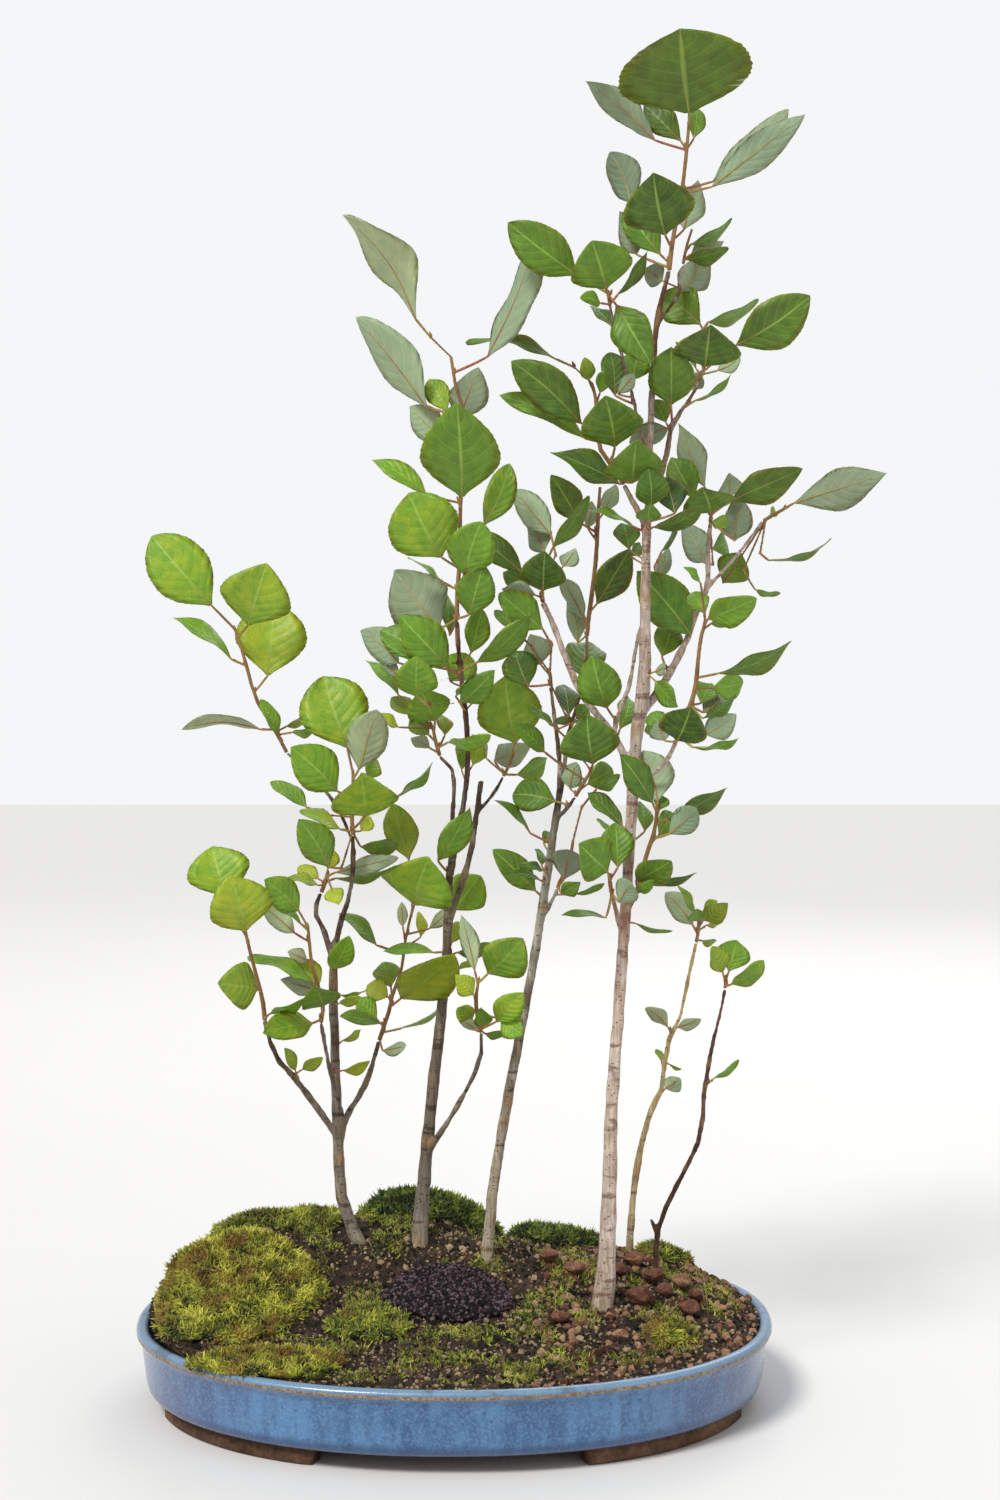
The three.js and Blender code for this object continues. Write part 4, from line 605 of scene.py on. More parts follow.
def evaluated(piece: Piece) -> bpy.types.Mesh:
    """The piece's mesh with all its modifiers in it."""
    depsgraph = bpy.context.evaluated_depsgraph_get()
    return bpy.data.meshes.new_from_object(piece.evaluated_get(depsgraph), depsgraph=depsgraph)


def bake(piece: Piece) -> None:
    """Puts the result of a piece's modifiers into its mesh and removes them."""
    made = evaluated(piece)
    piece.modifiers.clear()
    piece.data = made


def remeshed(bm: bmesh.types.BMesh, voxel: float, rounds: int) -> tuple[np.ndarray, list[Face]]:
    """One smooth skin around a coarse closed mesh.

    Args:
        bm: The coarse mesh, which is freed.
        voxel: Size of the skin's faces in metres.
        rounds: How often the skin is smoothed.

    Returns:
        The skin's vertices and faces.
    """
    mesh = bpy.data.meshes.new("skin")
    bm.to_mesh(mesh)
    bm.free()
    skin = placed("skin", mesh)
    grid = skin.modifiers.new("grid", "REMESH")
    grid.mode = "VOXEL"
    grid.voxel_size = voxel
    soften = skin.modifiers.new("soften", "SMOOTH")
    soften.factor = 0.5
    soften.iterations = rounds
    made = evaluated(skin)
    points = numbers(made.vertices, "co", 3)
    faces = [tuple(polygon.vertices) for polygon in made.polygons]
    bpy.data.objects.remove(skin)
    bpy.data.meshes.remove(made)
    bpy.data.meshes.remove(mesh)
    return points, faces


def normals_of(points: np.ndarray, faces: list[Face]) -> np.ndarray:
    """Unit normals of a mesh's vertices."""
    made = bpy.data.meshes.new("probe")
    made.from_pydata(points.tolist(), [], faces)
    normals = numbers(made.vertices, "normal", 3)
    bpy.data.meshes.remove(made)
    return normals


def tube(route: list[Vector], radii: list[float], sides: int = 6) -> tuple[list[Vector], list[Face]]:
    """A closed round rod along a route, with a point at each end."""
    points: list[Vector] = []
    for i, (spot, radius) in enumerate(zip(route, radii)):
        along = (route[min(i + 1, len(route) - 1)] - route[max(i - 1, 0)]).normalized()
        across = along.orthogonal() if i == 0 else across - along * across.dot(along)
        across.normalize()
        beside = along.cross(across)
        for k in range(sides):
            angle = 2 * math.pi * k / sides
            points.append(spot + (across * math.cos(angle) + beside * math.sin(angle)) * radius)
    faces = band_faces(len(route) - 1, sides, turned=True)
    first, last = len(points), len(points) + 1
    points += [route[0], route[-1]]
    top = (len(route) - 1) * sides
    for k in range(sides):
        faces.append((first, (k + 1) % sides, k))
        faces.append((last, top + k, top + (k + 1) % sides))
    return points, faces


def bezier(a: Vector, b: Vector, c: Vector, steps: int) -> list[Vector]:
    """Points of a bend from a to c that leans towards b."""
    shares = (i / steps for i in range(steps + 1))
    return [a * (1 - t) ** 2 + b * (2 * t * (1 - t)) + c * t * t for t in shares]


# ------------------------------------------------------------------ blades


@dataclass(frozen=True)
class Blade:
    """A leaf found on a CAD node, in metres."""

    base: Vector
    tip: Vector
    left: Vector
    right: Vector
    face: Vector
    stalk: tuple[Vector, ...]


RIB_GAP = (0.6 * MM, 1.1 * MM)  # least and most distance between a blade's two rib corners
SHORT_PETIOLE = 4 * MM


def petiole_route(ring: list[bmesh.types.BMVert], blade: set[bmesh.types.BMVert]) -> tuple[Vector, ...]:
    """Centres of the petiole's rings, from the blade down to the wood."""
    seen = set(ring) | blade
    route = []
    for _ in range(2):
        beyond = {e.other_vert(v) for v in ring for e in v.link_edges} - seen
        if not beyond:
            break
        route.append(sum((v.co for v in beyond), Vector()) / len(beyond))
        if len(beyond) != 3 or any(len(v.link_edges) > 7 for v in beyond):
            break
        seen |= beyond
        ring = list(beyond)
    if len(route) == 2 and (route[1] - route[0]).length < SHORT_PETIOLE:
        route.pop()
    return tuple(route)


def split_rim(rim: list[Vector], base: Vector, face: Vector) -> tuple[Vector | None, list[list[Vector]]]:
    """The tip among a blade's rim corners, and the two corners on each side of it."""
    for tip in sorted(rim, key=lambda p: (p - base).length, reverse=True):
        side = face.cross(tip - base)
        rest = [p for p in rim if p is not tip]
        sides = [[p for p in rest if (p - base).dot(side) * sign > 0] for sign in (1, -1)]
        if len(sides[0]) == 2 and len(sides[1]) == 2:
            return tip, sides
    return None, []


def find_blades(bm: bmesh.types.BMesh) -> tuple[list[Blade], set[bmesh.types.BMFace]]:
    """Blades of a merged CAD node, known by their two rib corners.

    Args:
        bm: The merged node.

    Returns:
        The blades, and the faces that belong to them.
    """
    ribs = [v for v in bm.verts if len(v.link_edges) in (7, 8, 9)]
    tree = KDTree(len(bm.verts))
    for v in ribs:
        tree.insert(v.co, v.index)
    tree.balance()
    blades, faces, used = [], set(), set()
    for rib in ribs:
        if rib.index in used or len(rib.link_edges) < 8:
            continue
        around = {e.other_vert(rib) for e in rib.link_edges}
        for _, index, _ in tree.find_range(rib.co, RIB_GAP[1]):
            other = bm.verts[index]
            if other is rib or index in used or len(other.link_edges) != len(rib.link_edges) - 1:
                continue
            shared = around & {e.other_vert(other) for e in other.link_edges}
            if len(shared) != 7 or (rib.co - other.co).length < RIB_GAP[0]:
                continue
            top = min(around - shared, key=lambda v: sum(sorted((v.co - s.co).length for s in shared)[:2]))
            corners = sorted(shared, key=lambda v: (v.co - top.co).length)[:2]
            base = (corners[0].co + corners[1].co) / 2
            face = (rib.co - other.co).normalized()
            rim = [v.co.copy() for v in shared if v not in corners]
            tip, sides = split_rim(rim, base, face)
            if tip is None:
                continue
            used.update((rib.index, index))
            along = (tip - base).normalized()
            left, right = (min(pair, key=lambda p: (p - base).dot(along)) for pair in sides)
            stalk = petiole_route([*corners, top], shared | {rib, other})
            blades.append(Blade(base, tip, left, right, face, stalk))
            faces.update(rib.link_faces, other.link_faces)
            break
    return blades, faces


@dataclass(frozen=True)
class BladeShape:
    """Outline and bend of a poplar blade, as shares of its length and half width."""

    rhombic: tuple[tuple[float, float], ...] = (
        (0.0, 0.05), (0.06, 0.16), (0.15, 0.42), (0.28, 0.76), (0.38, 0.95), (0.46, 1.0), (0.56, 0.95),
        (0.68, 0.77), (0.79, 0.52), (0.88, 0.3), (0.95, 0.12), (1.0, 0.0),
    )
    rounded: tuple[tuple[float, float], ...] = (
        (0.0, 0.06), (0.06, 0.22), (0.15, 0.52), (0.26, 0.8), (0.38, 0.96), (0.5, 1.0), (0.62, 0.98),
        (0.74, 0.88), (0.84, 0.7), (0.91, 0.48), (0.96, 0.25), (1.0, 0.0),
    )
    roundness: float = 0.5
    columns: int = 6
    rows: int = 38
    small_rows: int = 20
    teeth: float = 17.0
    tooth_depth: float = 0.035
    fold: float = 0.2
    thickness: float = 0.26 * MM

    def half_width(self, share: float, roundness: float) -> float:
        """Half width at a share of the length, between the two outlines."""
        sharp, blunt = (
            float(np.interp(share, [place for place, _ in line], [width for _, width in line]))
            for line in (self.rhombic, self.rounded)
        )
        return sharp + (blunt - sharp) * roundness

    def add_to(self, draft: MeshDraft, blade: Blade, tone: Tone, draw: random.Random) -> list[Vector]:
        """Adds a blade as a thin closed leaf with toothed edges.

        Args:
            draft: The piece that the blade belongs to.
            blade: Its place.
            tone: Its colouring.
            draw: The source of its small differences.

        Returns:
            The route of the midrib on the underside.
        """
        along = blade.tip - blade.base
        length = along.length
        along.normalize()
        side = blade.right - blade.left
        side = (side - along * side.dot(along)).normalized()
        up = side.cross(along).normalized()
        half = (blade.right - blade.left).length / 2 * 1.03
        roundness = max(0.0, min(1.0, self.roundness + draw.uniform(-0.4, 0.4)))
        rows = self.rows if length > LARGE_LEAF else self.small_rows
        arch = draw.uniform(0.02, 0.09)
        droop = draw.uniform(-0.02, 0.1)
        wave = draw.uniform(0.012, 0.045) * length
        phase = draw.uniform(0, 2 * math.pi)
        twist = draw.uniform(-0.22, 0.22)
        skew = draw.uniform(-0.03, 0.03)
        upper: list[list[int]] = []
        lower: list[list[int]] = []
        points: list[Vector] = []
        maps: list[tuple[float, float]] = []
        rib: list[Vector] = []
        for i in range(rows):
            t = i / rows
            width = half * self.half_width(t, roundness)
            centre = blade.base + along * (t * length) + side * (skew * length * math.sin(math.pi * t))
            centre = centre + up * (length * (arch * math.sin(math.pi * t) - droop * t * t))
            swing = twist * t
            over = side * math.cos(swing) + up * math.sin(swing)
            rise = up * math.cos(swing) - side * math.sin(swing)
            if i % 4 == 0 and t < 0.85:
                rib.append(centre - rise * self.thickness * 0.6)
            row_up, row_low = [], []
            for j in range(self.columns + 1):
                s = 2 * j / self.columns - 1
                edge = abs(s)
                tooth = abs((t * self.teeth + 0.5 * (s > 0)) % 1.0)
                reach = width * s
                if edge == 1.0:
                    bite = self.tooth_depth * (1 - tooth) * min(1.0, 6 * t)
                    reach *= 1 + bite * (half / max(width, 1e-6)) ** 0.5
                lift = self.fold * width * (edge ** 1.4)
                ripple = math.sin(phase + t * 9 + (2.1 if s > 0 else 0))
                lift += wave * edge * edge * ripple * min(1.0, 3 * t)
                spot = centre + over * reach + rise * lift
                border = i == 0 or edge == 1.0
                row_up.append(len(points))
                points.append(spot if border else spot + rise * self.thickness / 2)
                maps.append((0.5 + s / 2, t))
                if border:
                    row_low.append(row_up[-1])
                else:
                    row_low.append(len(points))
                    points.append(spot - rise * self.thickness / 2)
                    maps.append((0.5 + s / 2, t))
            upper.append(row_up)
            lower.append(row_low)
        end = len(points)
        points.append(blade.tip - up * (droop * length))
        maps.append((0.5, 1.0))
        tops: list[Face] = []
        unders: list[Face] = []
        for i in range(rows - 1):
            for j in range(self.columns):
                a, b, c, d = upper[i][j], upper[i][j + 1], upper[i + 1][j + 1], upper[i + 1][j]
                tops.append((a, b, c, d))
                a, b, c, d = lower[i][j], lower[i][j + 1], lower[i + 1][j + 1], lower[i + 1][j]
                unders.append((d, c, b, a))
        for j in range(self.columns):
            tops.append((upper[-1][j], upper[-1][j + 1], end))
            unders.append((end, lower[-1][j + 1], lower[-1][j]))
        first = len(draft.faces)
        draft.add(points, tops + unders, Slot.UPPER.value, tone, maps)
        for k in range(first + len(tops), len(draft.faces)):
            draft.slots[k] = Slot.UNDER.value
        return rib


class Slot(Enum):
    """Order of the materials on every leafy piece."""

    WOOD = 0
    UPPER = 1
    UNDER = 2
    PETIOLE = 3
    BUD = 4


# ------------------------------------------------------------------ plants


@dataclass(frozen=True)
class WoodSkin:
    """How finely wood is skinned, how much it grows and how rough it is."""

    voxel: float
    rounds: int
    grow: float
    rough: float


OLD_WOOD = WoodSkin(0.75 * MM, 14, 0.18 * MM, 0.42 * MM)
YOUNG_WOOD = WoodSkin(0.42 * MM, 8, 0.16 * MM, 0.1 * MM)
LARGE_LEAF = 20 * MM  # from this length on a blade has a thick petiole
BUD_LEAF = 14 * MM  # from this length on a leaf has a bud in its axil


@dataclass
class LeafyNode:
    """One CAD node of wood or stalk with its leaves."""

    node: str
    slot: str
    wood: Material
    materials: list[Material]
    deepness: float
    thick: bool
    shape: BladeShape = field(default_factory=BladeShape)

    def build(self) -> tuple[Piece, int]:
        """Builds the piece that stands for the node.

        Returns:
            The piece, and how many blades it carries.
        """
        draw = random.Random(self.node)
        bm = merged_copy(self.node)
        blades, faces = find_blades(bm)
        bmesh.ops.delete(bm, geom=list(faces), context="FACES")
        loose = [v for v in bm.verts if not v.link_faces]
        bmesh.ops.delete(bm, geom=loose, context="VERTS")
        bmesh.ops.holes_fill(bm, edges=[e for e in bm.edges if e.is_boundary], sides=0)
        bmesh.ops.triangulate(bm, faces=bm.faces)
        draft = MeshDraft()
        self.add_wood(draft, bm)
        order = sorted(range(len(blades)), key=lambda i: blades[i].base.z)
        for rank, i in enumerate(order):
            self.add_leaf(draft, blades[i], rank / max(1, len(blades) - 1), draw)
        name = self.node.replace("_stem", "_wood") + "_in_leaf"
        return draft.build(name, [self.wood, *self.materials]), len(blades)

    def add_wood(self, draft: MeshDraft, bm: bmesh.types.BMesh) -> None:
        """Adds the wood as one skin with swellings, ridges and dents."""
        skin = OLD_WOOD if self.thick else YOUNG_WOOD
        points, faces = remeshed(bm, skin.voxel, skin.rounds)
        normals = normals_of(points, faces)
        tones = []
        for i, (p, n) in enumerate(zip(points, normals)):
            ridge = noise.noise(Vector((p[0] * 420, p[1] * 420, p[2] * 70)))
            lump = noise.noise(Vector((p[0] * 130 + 9, p[1] * 130, p[2] * 110)))
            points[i] = p + n * (skin.grow + skin.rough * (0.6 * ridge + 0.9 * lump))
            tones.append((0.5, max(0.0, min(1.0, lump * 1.6 - 0.35)), 0.0, 1.0))
        draft.add(points.tolist(), faces, Slot.WOOD.value, tones=tones)

    def add_leaf(self, draft: MeshDraft, blade: Blade, rank: float, draw: random.Random) -> None:
        """Adds a blade with its midrib, petiole and axil bud.

        Args:
            draft: The piece.
            blade: The leaf's place.
            rank: Its order on the node from lowest, 0, to highest, 1.
            draw: The source of small differences.
        """
        length = (blade.tip - blade.base).length
        youth = max(0.0, 1 - length / (24 * MM)) * 0.5
        fresher = 0.0 if self.thick else 0.14 * rank
        deep = self.deepness + draw.uniform(-0.16, 0.16) - youth - fresher
        tone = (max(0.0, min(1.0, deep)), draw.random(), draw.uniform(0, 0.12) ** 2)
        rib = self.shape.add_to(draft, blade, tone, draw)
        if not blade.stalk:
            return
        foot = blade.stalk[-1]
        bent = len(blade.stalk) > 1
        inward = (foot - (blade.stalk[0] if bent else blade.base)).normalized()
        root = foot + inward * 0.6 * MM
        heading = (blade.tip - blade.base).normalized()
        reach = (blade.base - root).length
        middle = (root + blade.base) / 2
        bend = blade.stalk[0] * 2 - middle if bent else middle - heading * 0.06 * reach
        route = bezier(root, bend, blade.base, 7)
        thick = 0.62 * MM if length > LARGE_LEAF else 0.5 * MM
        radii = [thick * (1.35 if i == 0 else 1.0 if i < 7 else 0.8) for i in range(8)]
        route += rib[1:]
        radii += [0.5 * MM * (1 - (k + 1) / (len(rib) + 1)) for k in range(len(rib) - 1)]
        own = draw.random()
        points, faces = tube(route, radii)
        draft.add(points, faces, Slot.PETIOLE.value, (0.5, own, 0.0))
        if length > BUD_LEAF:
            side = (blade.base - root).normalized()
            heading = (UP * 1.1 + side * 0.7).normalized()
            self.add_bud(draft, root, heading, draw.uniform(2.2, 4.2) * MM, draw)

    def add_bud(
        self, draft: MeshDraft, root: Vector, heading: Vector, length: float, draw: random.Random
    ) -> None:
        """Adds a pointed bud that grows from a root along a heading."""
        shares = ((0.0, 0.5), (0.18, 0.95), (0.4, 1.0), (0.65, 0.72), (0.86, 0.34), (1.0, 0.06))
        route = [root + heading * (length * t) for t, _ in shares]
        radii = [length * 0.23 * r for _, r in shares]
        points, faces = tube(route, radii, 7)
        draft.add(points, faces, Slot.BUD.value, (0.5, draw.random(), 0.0))


@dataclass
class Plants:
    """All six cuttings: their wood, their young shoots and their leaves."""

    barks: dict[int, BarkFinish]
    deepness: dict[int, float]

    def build(self) -> int:
        """Builds every leafy piece and gives the number of blades."""
        shared = [
            UPPER_FACE.material(),
            UNDER_FACE.material(),
            StalkFinish("petiole", "a9a24a", "a0503c", 0.55).material(),
            StalkFinish("bud_scales", "a5782e", "7c3f22", 0.6).material(),
        ]
        young = StalkFinish("young_stalk", "94703c", "5c3524", 0.5, 0.55).material()
        woods = {number: bark.material() for number, bark in self.barks.items()}
        total = 0
        for node in sorted(n for n in frame["nodes"] if n.startswith("cutting_")):
            number = int(node.split("_")[1])
            thick = node.endswith("_stem")
            leafy = LeafyNode(node, SLOTS[node], woods[number] if thick else young, shared,
                              self.deepness[number], thick)
            piece, count = leafy.build()
            total += count
            finish_piece(piece, SLOTS[node], node)
            LOG.info("%s: %d blades, %d faces", piece.name, count, len(piece.data.polygons))
        return total


def finish_piece(piece: Piece, slot: str, *nodes: str) -> None:
    """Fixes a piece to the frame and hides the CAD nodes it stands for."""
    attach(piece, BODY)
    if nodes:
        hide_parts(*nodes)


# ------------------------------------------------------------------ tray

CAD_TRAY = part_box("tray")
TRAY_CENTRE = Vector(((CAD_TRAY[0][0] + CAD_TRAY[1][0]) / 2, (CAD_TRAY[0][1] + CAD_TRAY[1][1]) / 2, 0.0))


@dataclass
class Tray:
    """The oval tray with a rolled rim, a drawn-in wall and four low feet."""

    exponent: float = 2.15
    facets: int = 180
    drain_radius: float = 13 * MM
    drain_offset: float = 72 * MM
    foot_span: tuple[float, float] = (0.2, 0.735)
    foot_inset: float = 10.5 * MM
    foot_thickness: float = 10 * MM
    foot_steps: int = 26
    foot_section: tuple[tuple[float, float], ...] = (
        (0.0, 9.0), (0.0, 3.0), (0.5, 1.0), (1.4, 0.1), (3.0, 0.0),
        (7.4, 0.0), (9.0, 0.3), (9.8, 1.4), (10.0, 3.5), (10.0, 9.0),
    )
    wobble: float = 0.25 * MM
    flat_rings: tuple[float, ...] = (100.0, 50.0)
    profile: tuple[tuple[float, float], ...] = (
        (13.6, 14.0), (9.6, 17.2), (7.6, 22.0), (6.8, 29.0), (6.5, 35.0), (6.0, 38.0), (5.2, 39.3),
        (3.9, 39.9), (2.4, 40.0), (1.1, 39.5), (0.3, 38.6), (0.0, 37.4), (0.15, 36.2), (0.8, 35.1),
        (1.7, 34.3), (2.2, 33.5), (2.6, 31.5), (3.0, 28.5), (3.4, 25.0), (3.8, 21.4), (4.2, 18.0),
        (4.6, 15.4), (4.6, 14.6), (5.1, 12.6), (5.5, 11.4), (6.1, 10.2), (7.2, 9.0), (8.8, 8.3),
        (11.0, 8.05), (15.0, 8.0),
    )

    def spot(self, angle: float, inset: float, height: float) -> Vector:
        """A point at an angle on the oval, inset from the rim's outline."""
        low, high = CAD_TRAY
        c, s = math.cos(angle), math.sin(angle)
        x = math.copysign(abs(c) ** (2 / self.exponent), c) * ((high[0] - low[0]) / 2 - inset)
        y = math.copysign(abs(s) ** (2 / self.exponent), s) * ((high[1] - low[1]) / 2 - inset)
        return TRAY_CENTRE + Vector((x, y, height))

    def ring(self, inset: float, height: float) -> list[Vector]:
        """One level ring of the oval."""
        turns = (2 * math.pi * k / self.facets for k in range(self.facets))
        return [self.spot(angle, inset, height) for angle in turns]

    def bowl(self) -> MeshDraft:
        """The bowl as a closed shell, from the middle of its floor over the rim to its underside."""
        draft = MeshDraft()
        inside = [(inset, self.profile[0][1]) for inset in self.flat_rings]
        under = [(inset, self.profile[-1][1]) for inset in reversed(self.flat_rings)]
        points: list[Vector] = []
        maps: list[tuple[float, float]] = []
        rings = [*inside, *self.profile, *under]
        for i, (inset, height) in enumerate(rings):
            for k, spot in enumerate(self.ring(inset * MM, height * MM)):
                wobble = self.wobble * noise.noise(spot * 35) if 3 < i < len(rings) - 4 else 0.0
                points.append(spot + (spot - TRAY_CENTRE).normalized() * wobble)
                maps.append((k / self.facets, i / len(rings)))
        n = self.facets
        faces = band_faces(len(rings) - 1, n)
        faces.append(tuple(range(n)))
        last = (len(rings) - 1) * n
        faces.append(tuple(last + k for k in reversed(range(n))))
        draft.add(points, faces, 0, (0.5, 0.5, 0.0), maps)
        return draft

    def feet(self) -> MeshDraft:
        """Four curved feet whose ends and lower edges are worn round."""
        draft = MeshDraft()
        steps, count = self.foot_steps, len(self.foot_section)
        start, stop = self.foot_span
        for quarter in range(4):
            points: list[Vector] = []
            for step in range(steps + 1):
                share = start + (stop - start) * step / steps
                turn = share if quarter % 2 == 0 else 1 - share
                angle = math.pi / 2 * (quarter + turn)
                end = min(step, steps - step)
                pinch = 1.2 * MM * max(0.0, 1 - end / 1.6)
                for offset, height in self.foot_section:
                    inset = min(max(offset * MM, pinch), self.foot_thickness - pinch)
                    lift = pinch * 0.4 if height < 0.5 else 0
                    points.append(self.spot(angle, self.foot_inset + inset, height * MM + lift))
            faces = band_faces(steps, count, turned=True)
            faces.append(tuple(reversed(range(count))))
            faces.append(tuple(steps * count + k for k in range(count)))
            if quarter % 2 == 1:
                faces = [tuple(reversed(face)) for face in faces]
            draft.add(points, faces, 0)
        return draft

    def build(self) -> None:
        """Builds the glazed bowl with its drain holes, and the bare feet."""
        glaze = GlazeFinish().material()
        bare = EarthFinish("bare_clay", "3c2a1e", "5e4433", "7d6149", 0.006, 0.0004).material()
        bowl = self.bowl().build("tray_bowl", [glaze, bare])
        for polygon in bowl.data.polygons:
            if polygon.center.z < 9.2 * MM and polygon.normal.z < -0.5:
                polygon.material_index = 1
        cutters = []
        for offset in (-self.drain_offset, self.drain_offset):
            bpy.ops.mesh.primitive_cylinder_add(vertices=48, radius=self.drain_radius, depth=30 * MM,
                                                location=TRAY_CENTRE + Vector((offset, 0, 11 * MM)))
            cutter = bpy.context.object
            hole = bowl.modifiers.new("drain", "BOOLEAN")
            hole.operation = "DIFFERENCE"
            hole.object = cutter
            cutters.append(cutter)
        bake(bowl)
        for cutter in cutters:
            bpy.data.objects.remove(cutter)
        feet = self.feet().build("tray_feet", [bare])
        fix_outward(bowl)
        fix_outward(feet)
        finish_piece(bowl, "tray_glaze", "tray")
        finish_piece(feet, "tray_glaze")
        LOG.info("tray: %d faces, feet: %d faces", len(bowl.data.polygons), len(feet.data.polygons))


def fix_outward(piece: Piece) -> None:
    """Turns every closed shell of a piece so that its faces look outwards."""
    bm = bmesh.new()
    bm.from_mesh(piece.data)
    bmesh.ops.recalc_face_normals(bm, faces=bm.faces)
    bm.to_mesh(piece.data)
    bm.free()


# ------------------------------------------------------------------ ground


@dataclass
class ScatterSpec:
    """Sizes of what is strewn over a surface."""

    name: str
    per_mm2: float
    low: float
    high: float
    seed: int
    sides: int = 0
    tilt: float = 3.2


HOLE_REACH = 7 * MM  # distance that clears a stem's hole in the soil
HOLE_DEPTH = 4 * MM  # a spot this far below its surroundings lies in a hole
SHOOT_RADIUS = 0.18  # of a moss shoot's foot, as a share of its height
SHOOT_SINK = 0.3  # share of its height by which a shoot starts below the surface
GRAIN_CORNERS = 12


def between(w: Wires, low: Value, high: Value, seed: Value) -> Socket:
    """A random number, or a vector where low is one, that differs from point to point."""
    vector = isinstance(low, tuple)
    inputs = {0: low, 1: high} if vector else {2: low, 3: high}
    kind = "FLOAT_VECTOR" if vector else "FLOAT"
    node = w.add("FunctionNodeRandomValue", {**inputs, "Seed": seed}, data_type=kind)
    return node.outputs[0 if vector else 1]


def scatter(emitter: Piece, spec: ScatterSpec, material: Material) -> None:
    """Strews grains or shoots over a surface and keeps only them.

    Args:
        emitter: The surface, whose mesh is replaced by the result.
        spec: What is strewn. With sides it is an upright shoot, without a round grain.
        material: Its material.
    """
    tree = bpy.data.node_groups.new("strew_" + spec.name, "GeometryNodeTree")
    face = tree.interface
    face.new_socket(name="Surface", in_out="INPUT", socket_type="NodeSocketGeometry")
    for key in ("Density", "Smallest", "Largest", "Tilt"):
        face.new_socket(name=key, in_out="INPUT", socket_type="NodeSocketFloat")
    face.new_socket(name="Seed", in_out="INPUT", socket_type="NodeSocketInt")
    face.new_socket(name="Pieces", in_out="OUTPUT", socket_type="NodeSocketGeometry")
    w = Wires(tree)
    take = w.add("NodeGroupInput").outputs
    out = w.add("NodeGroupOutput")
    seed = take["Seed"]
    aim = {"Mesh": take["Surface"], "Density": take["Density"], "Seed": seed}
    spread = w.add("GeometryNodeDistributePointsOnFaces", aim).outputs
    if spec.sides:
        cone = {"Vertices": spec.sides, "Radius Top": 0.0, "Radius Bottom": SHOOT_RADIUS, "Depth": 1.0}
        shape = w.add("GeometryNodeMeshCone", cone, fill_type="NGON").outputs["Mesh"]
        lift = w.add("ShaderNodeCombineXYZ", {2: -SHOOT_SINK}).outputs[0]
        shape = w.add("GeometryNodeTransform", {"Geometry": shape, "Translation": lift}).outputs[0]
    else:
        ball = {"Radius": 0.5, "Subdivisions": 1}
        shape = w.add("GeometryNodeMeshIcoSphere", ball).outputs["Mesh"]
    lean = between(w, (-1, -1, -3.14), (1, 1, 3.14), seed)
    reach = w.add("ShaderNodeCombineXYZ", {0: take["Tilt"], 1: take["Tilt"], 2: 1.0}).outputs[0]
    turn = w.add("ShaderNodeVectorMath", {0: lean, 1: reach}, operation="MULTIPLY").outputs[0]
    turns = {0: spread["Rotation"], 1: turn}
    turned = w.add("FunctionNodeRotateRotation", turns, rotation_space="LOCAL").outputs[0]
    size = between(w, take["Smallest"], take["Largest"], w.plus(seed, 7))
    squash = between(w, (0.7, 0.7, 0.65), (1.25, 1.1, 1.0), w.plus(seed, 13))
    scale = w.add("ShaderNodeVectorMath", {0: squash, 3: size}, operation="SCALE").outputs[0]
    grown = {"Points": spread["Points"], "Instance": shape, "Rotation": turned, "Scale": scale}
    strewn = w.add("GeometryNodeInstanceOnPoints", grown).outputs[0]
    named = {"Geometry": strewn, "Name": "own", "Value": between(w, 0.0, 1.0, w.plus(seed, 29))}
    marked = w.add("GeometryNodeStoreNamedAttribute", named, data_type="FLOAT", domain="INSTANCE")
    real = w.add("GeometryNodeRealizeInstances", {"Geometry": marked.outputs[0]})
    dressed = w.add("GeometryNodeSetMaterial", {"Geometry": real.outputs[0], "Material": material})
    w.feed(out.inputs["Pieces"], dressed.outputs[0])
    modifier = emitter.modifiers.new("strew", "NODES")
    modifier.node_group = tree
    keys = {item.name: item.identifier for item in face.items_tree if item.in_out == "INPUT"}
    modifier[keys["Density"]] = spec.per_mm2 * 1e6
    modifier[keys["Smallest"]] = spec.low
    modifier[keys["Largest"]] = spec.high
    modifier[keys["Tilt"]] = spec.tilt
    modifier[keys["Seed"]] = spec.seed
    bake(emitter)
    tone_pieces(emitter, spec)


def tone_pieces(piece: Piece, spec: ScatterSpec) -> None:
    """Writes the tone attribute of strewn pieces, and makes grains angular."""
    mesh = piece.data
    count = len(mesh.vertices)
    own = numbers(mesh.attributes["own"].data, "value")
    corners = spec.sides + 1 if spec.sides else GRAIN_CORNERS
    pieces = numbers(mesh.vertices, "co", 3).reshape(-1, corners, 3)
    centres = pieces.mean(axis=1, keepdims=True)
    tones = np.ones((count, 4))
    if spec.sides:
        reach = np.linalg.norm(pieces - centres, axis=2)
        tones[:, 0] = (reach >= reach.max(axis=1, keepdims=True) - 1e-9).ravel()
        tones[:, 1] = own
    else:
        tones[:, 0] = own
        tones[:, 1] = np.random.default_rng(spec.seed).random(count)
        push = np.random.default_rng(spec.seed + 1).uniform(0.72, 1.2, (len(pieces), corners, 1))
        pieces = centres + (pieces - centres) * push
        mesh.vertices.foreach_set("co", pieces.astype(np.float32).ravel())
    mesh.attributes.remove(mesh.attributes["own"])
    write_tones(mesh, tones)
    mesh.polygons.foreach_set("use_smooth", [False] * len(mesh.polygons))
    mesh.update()


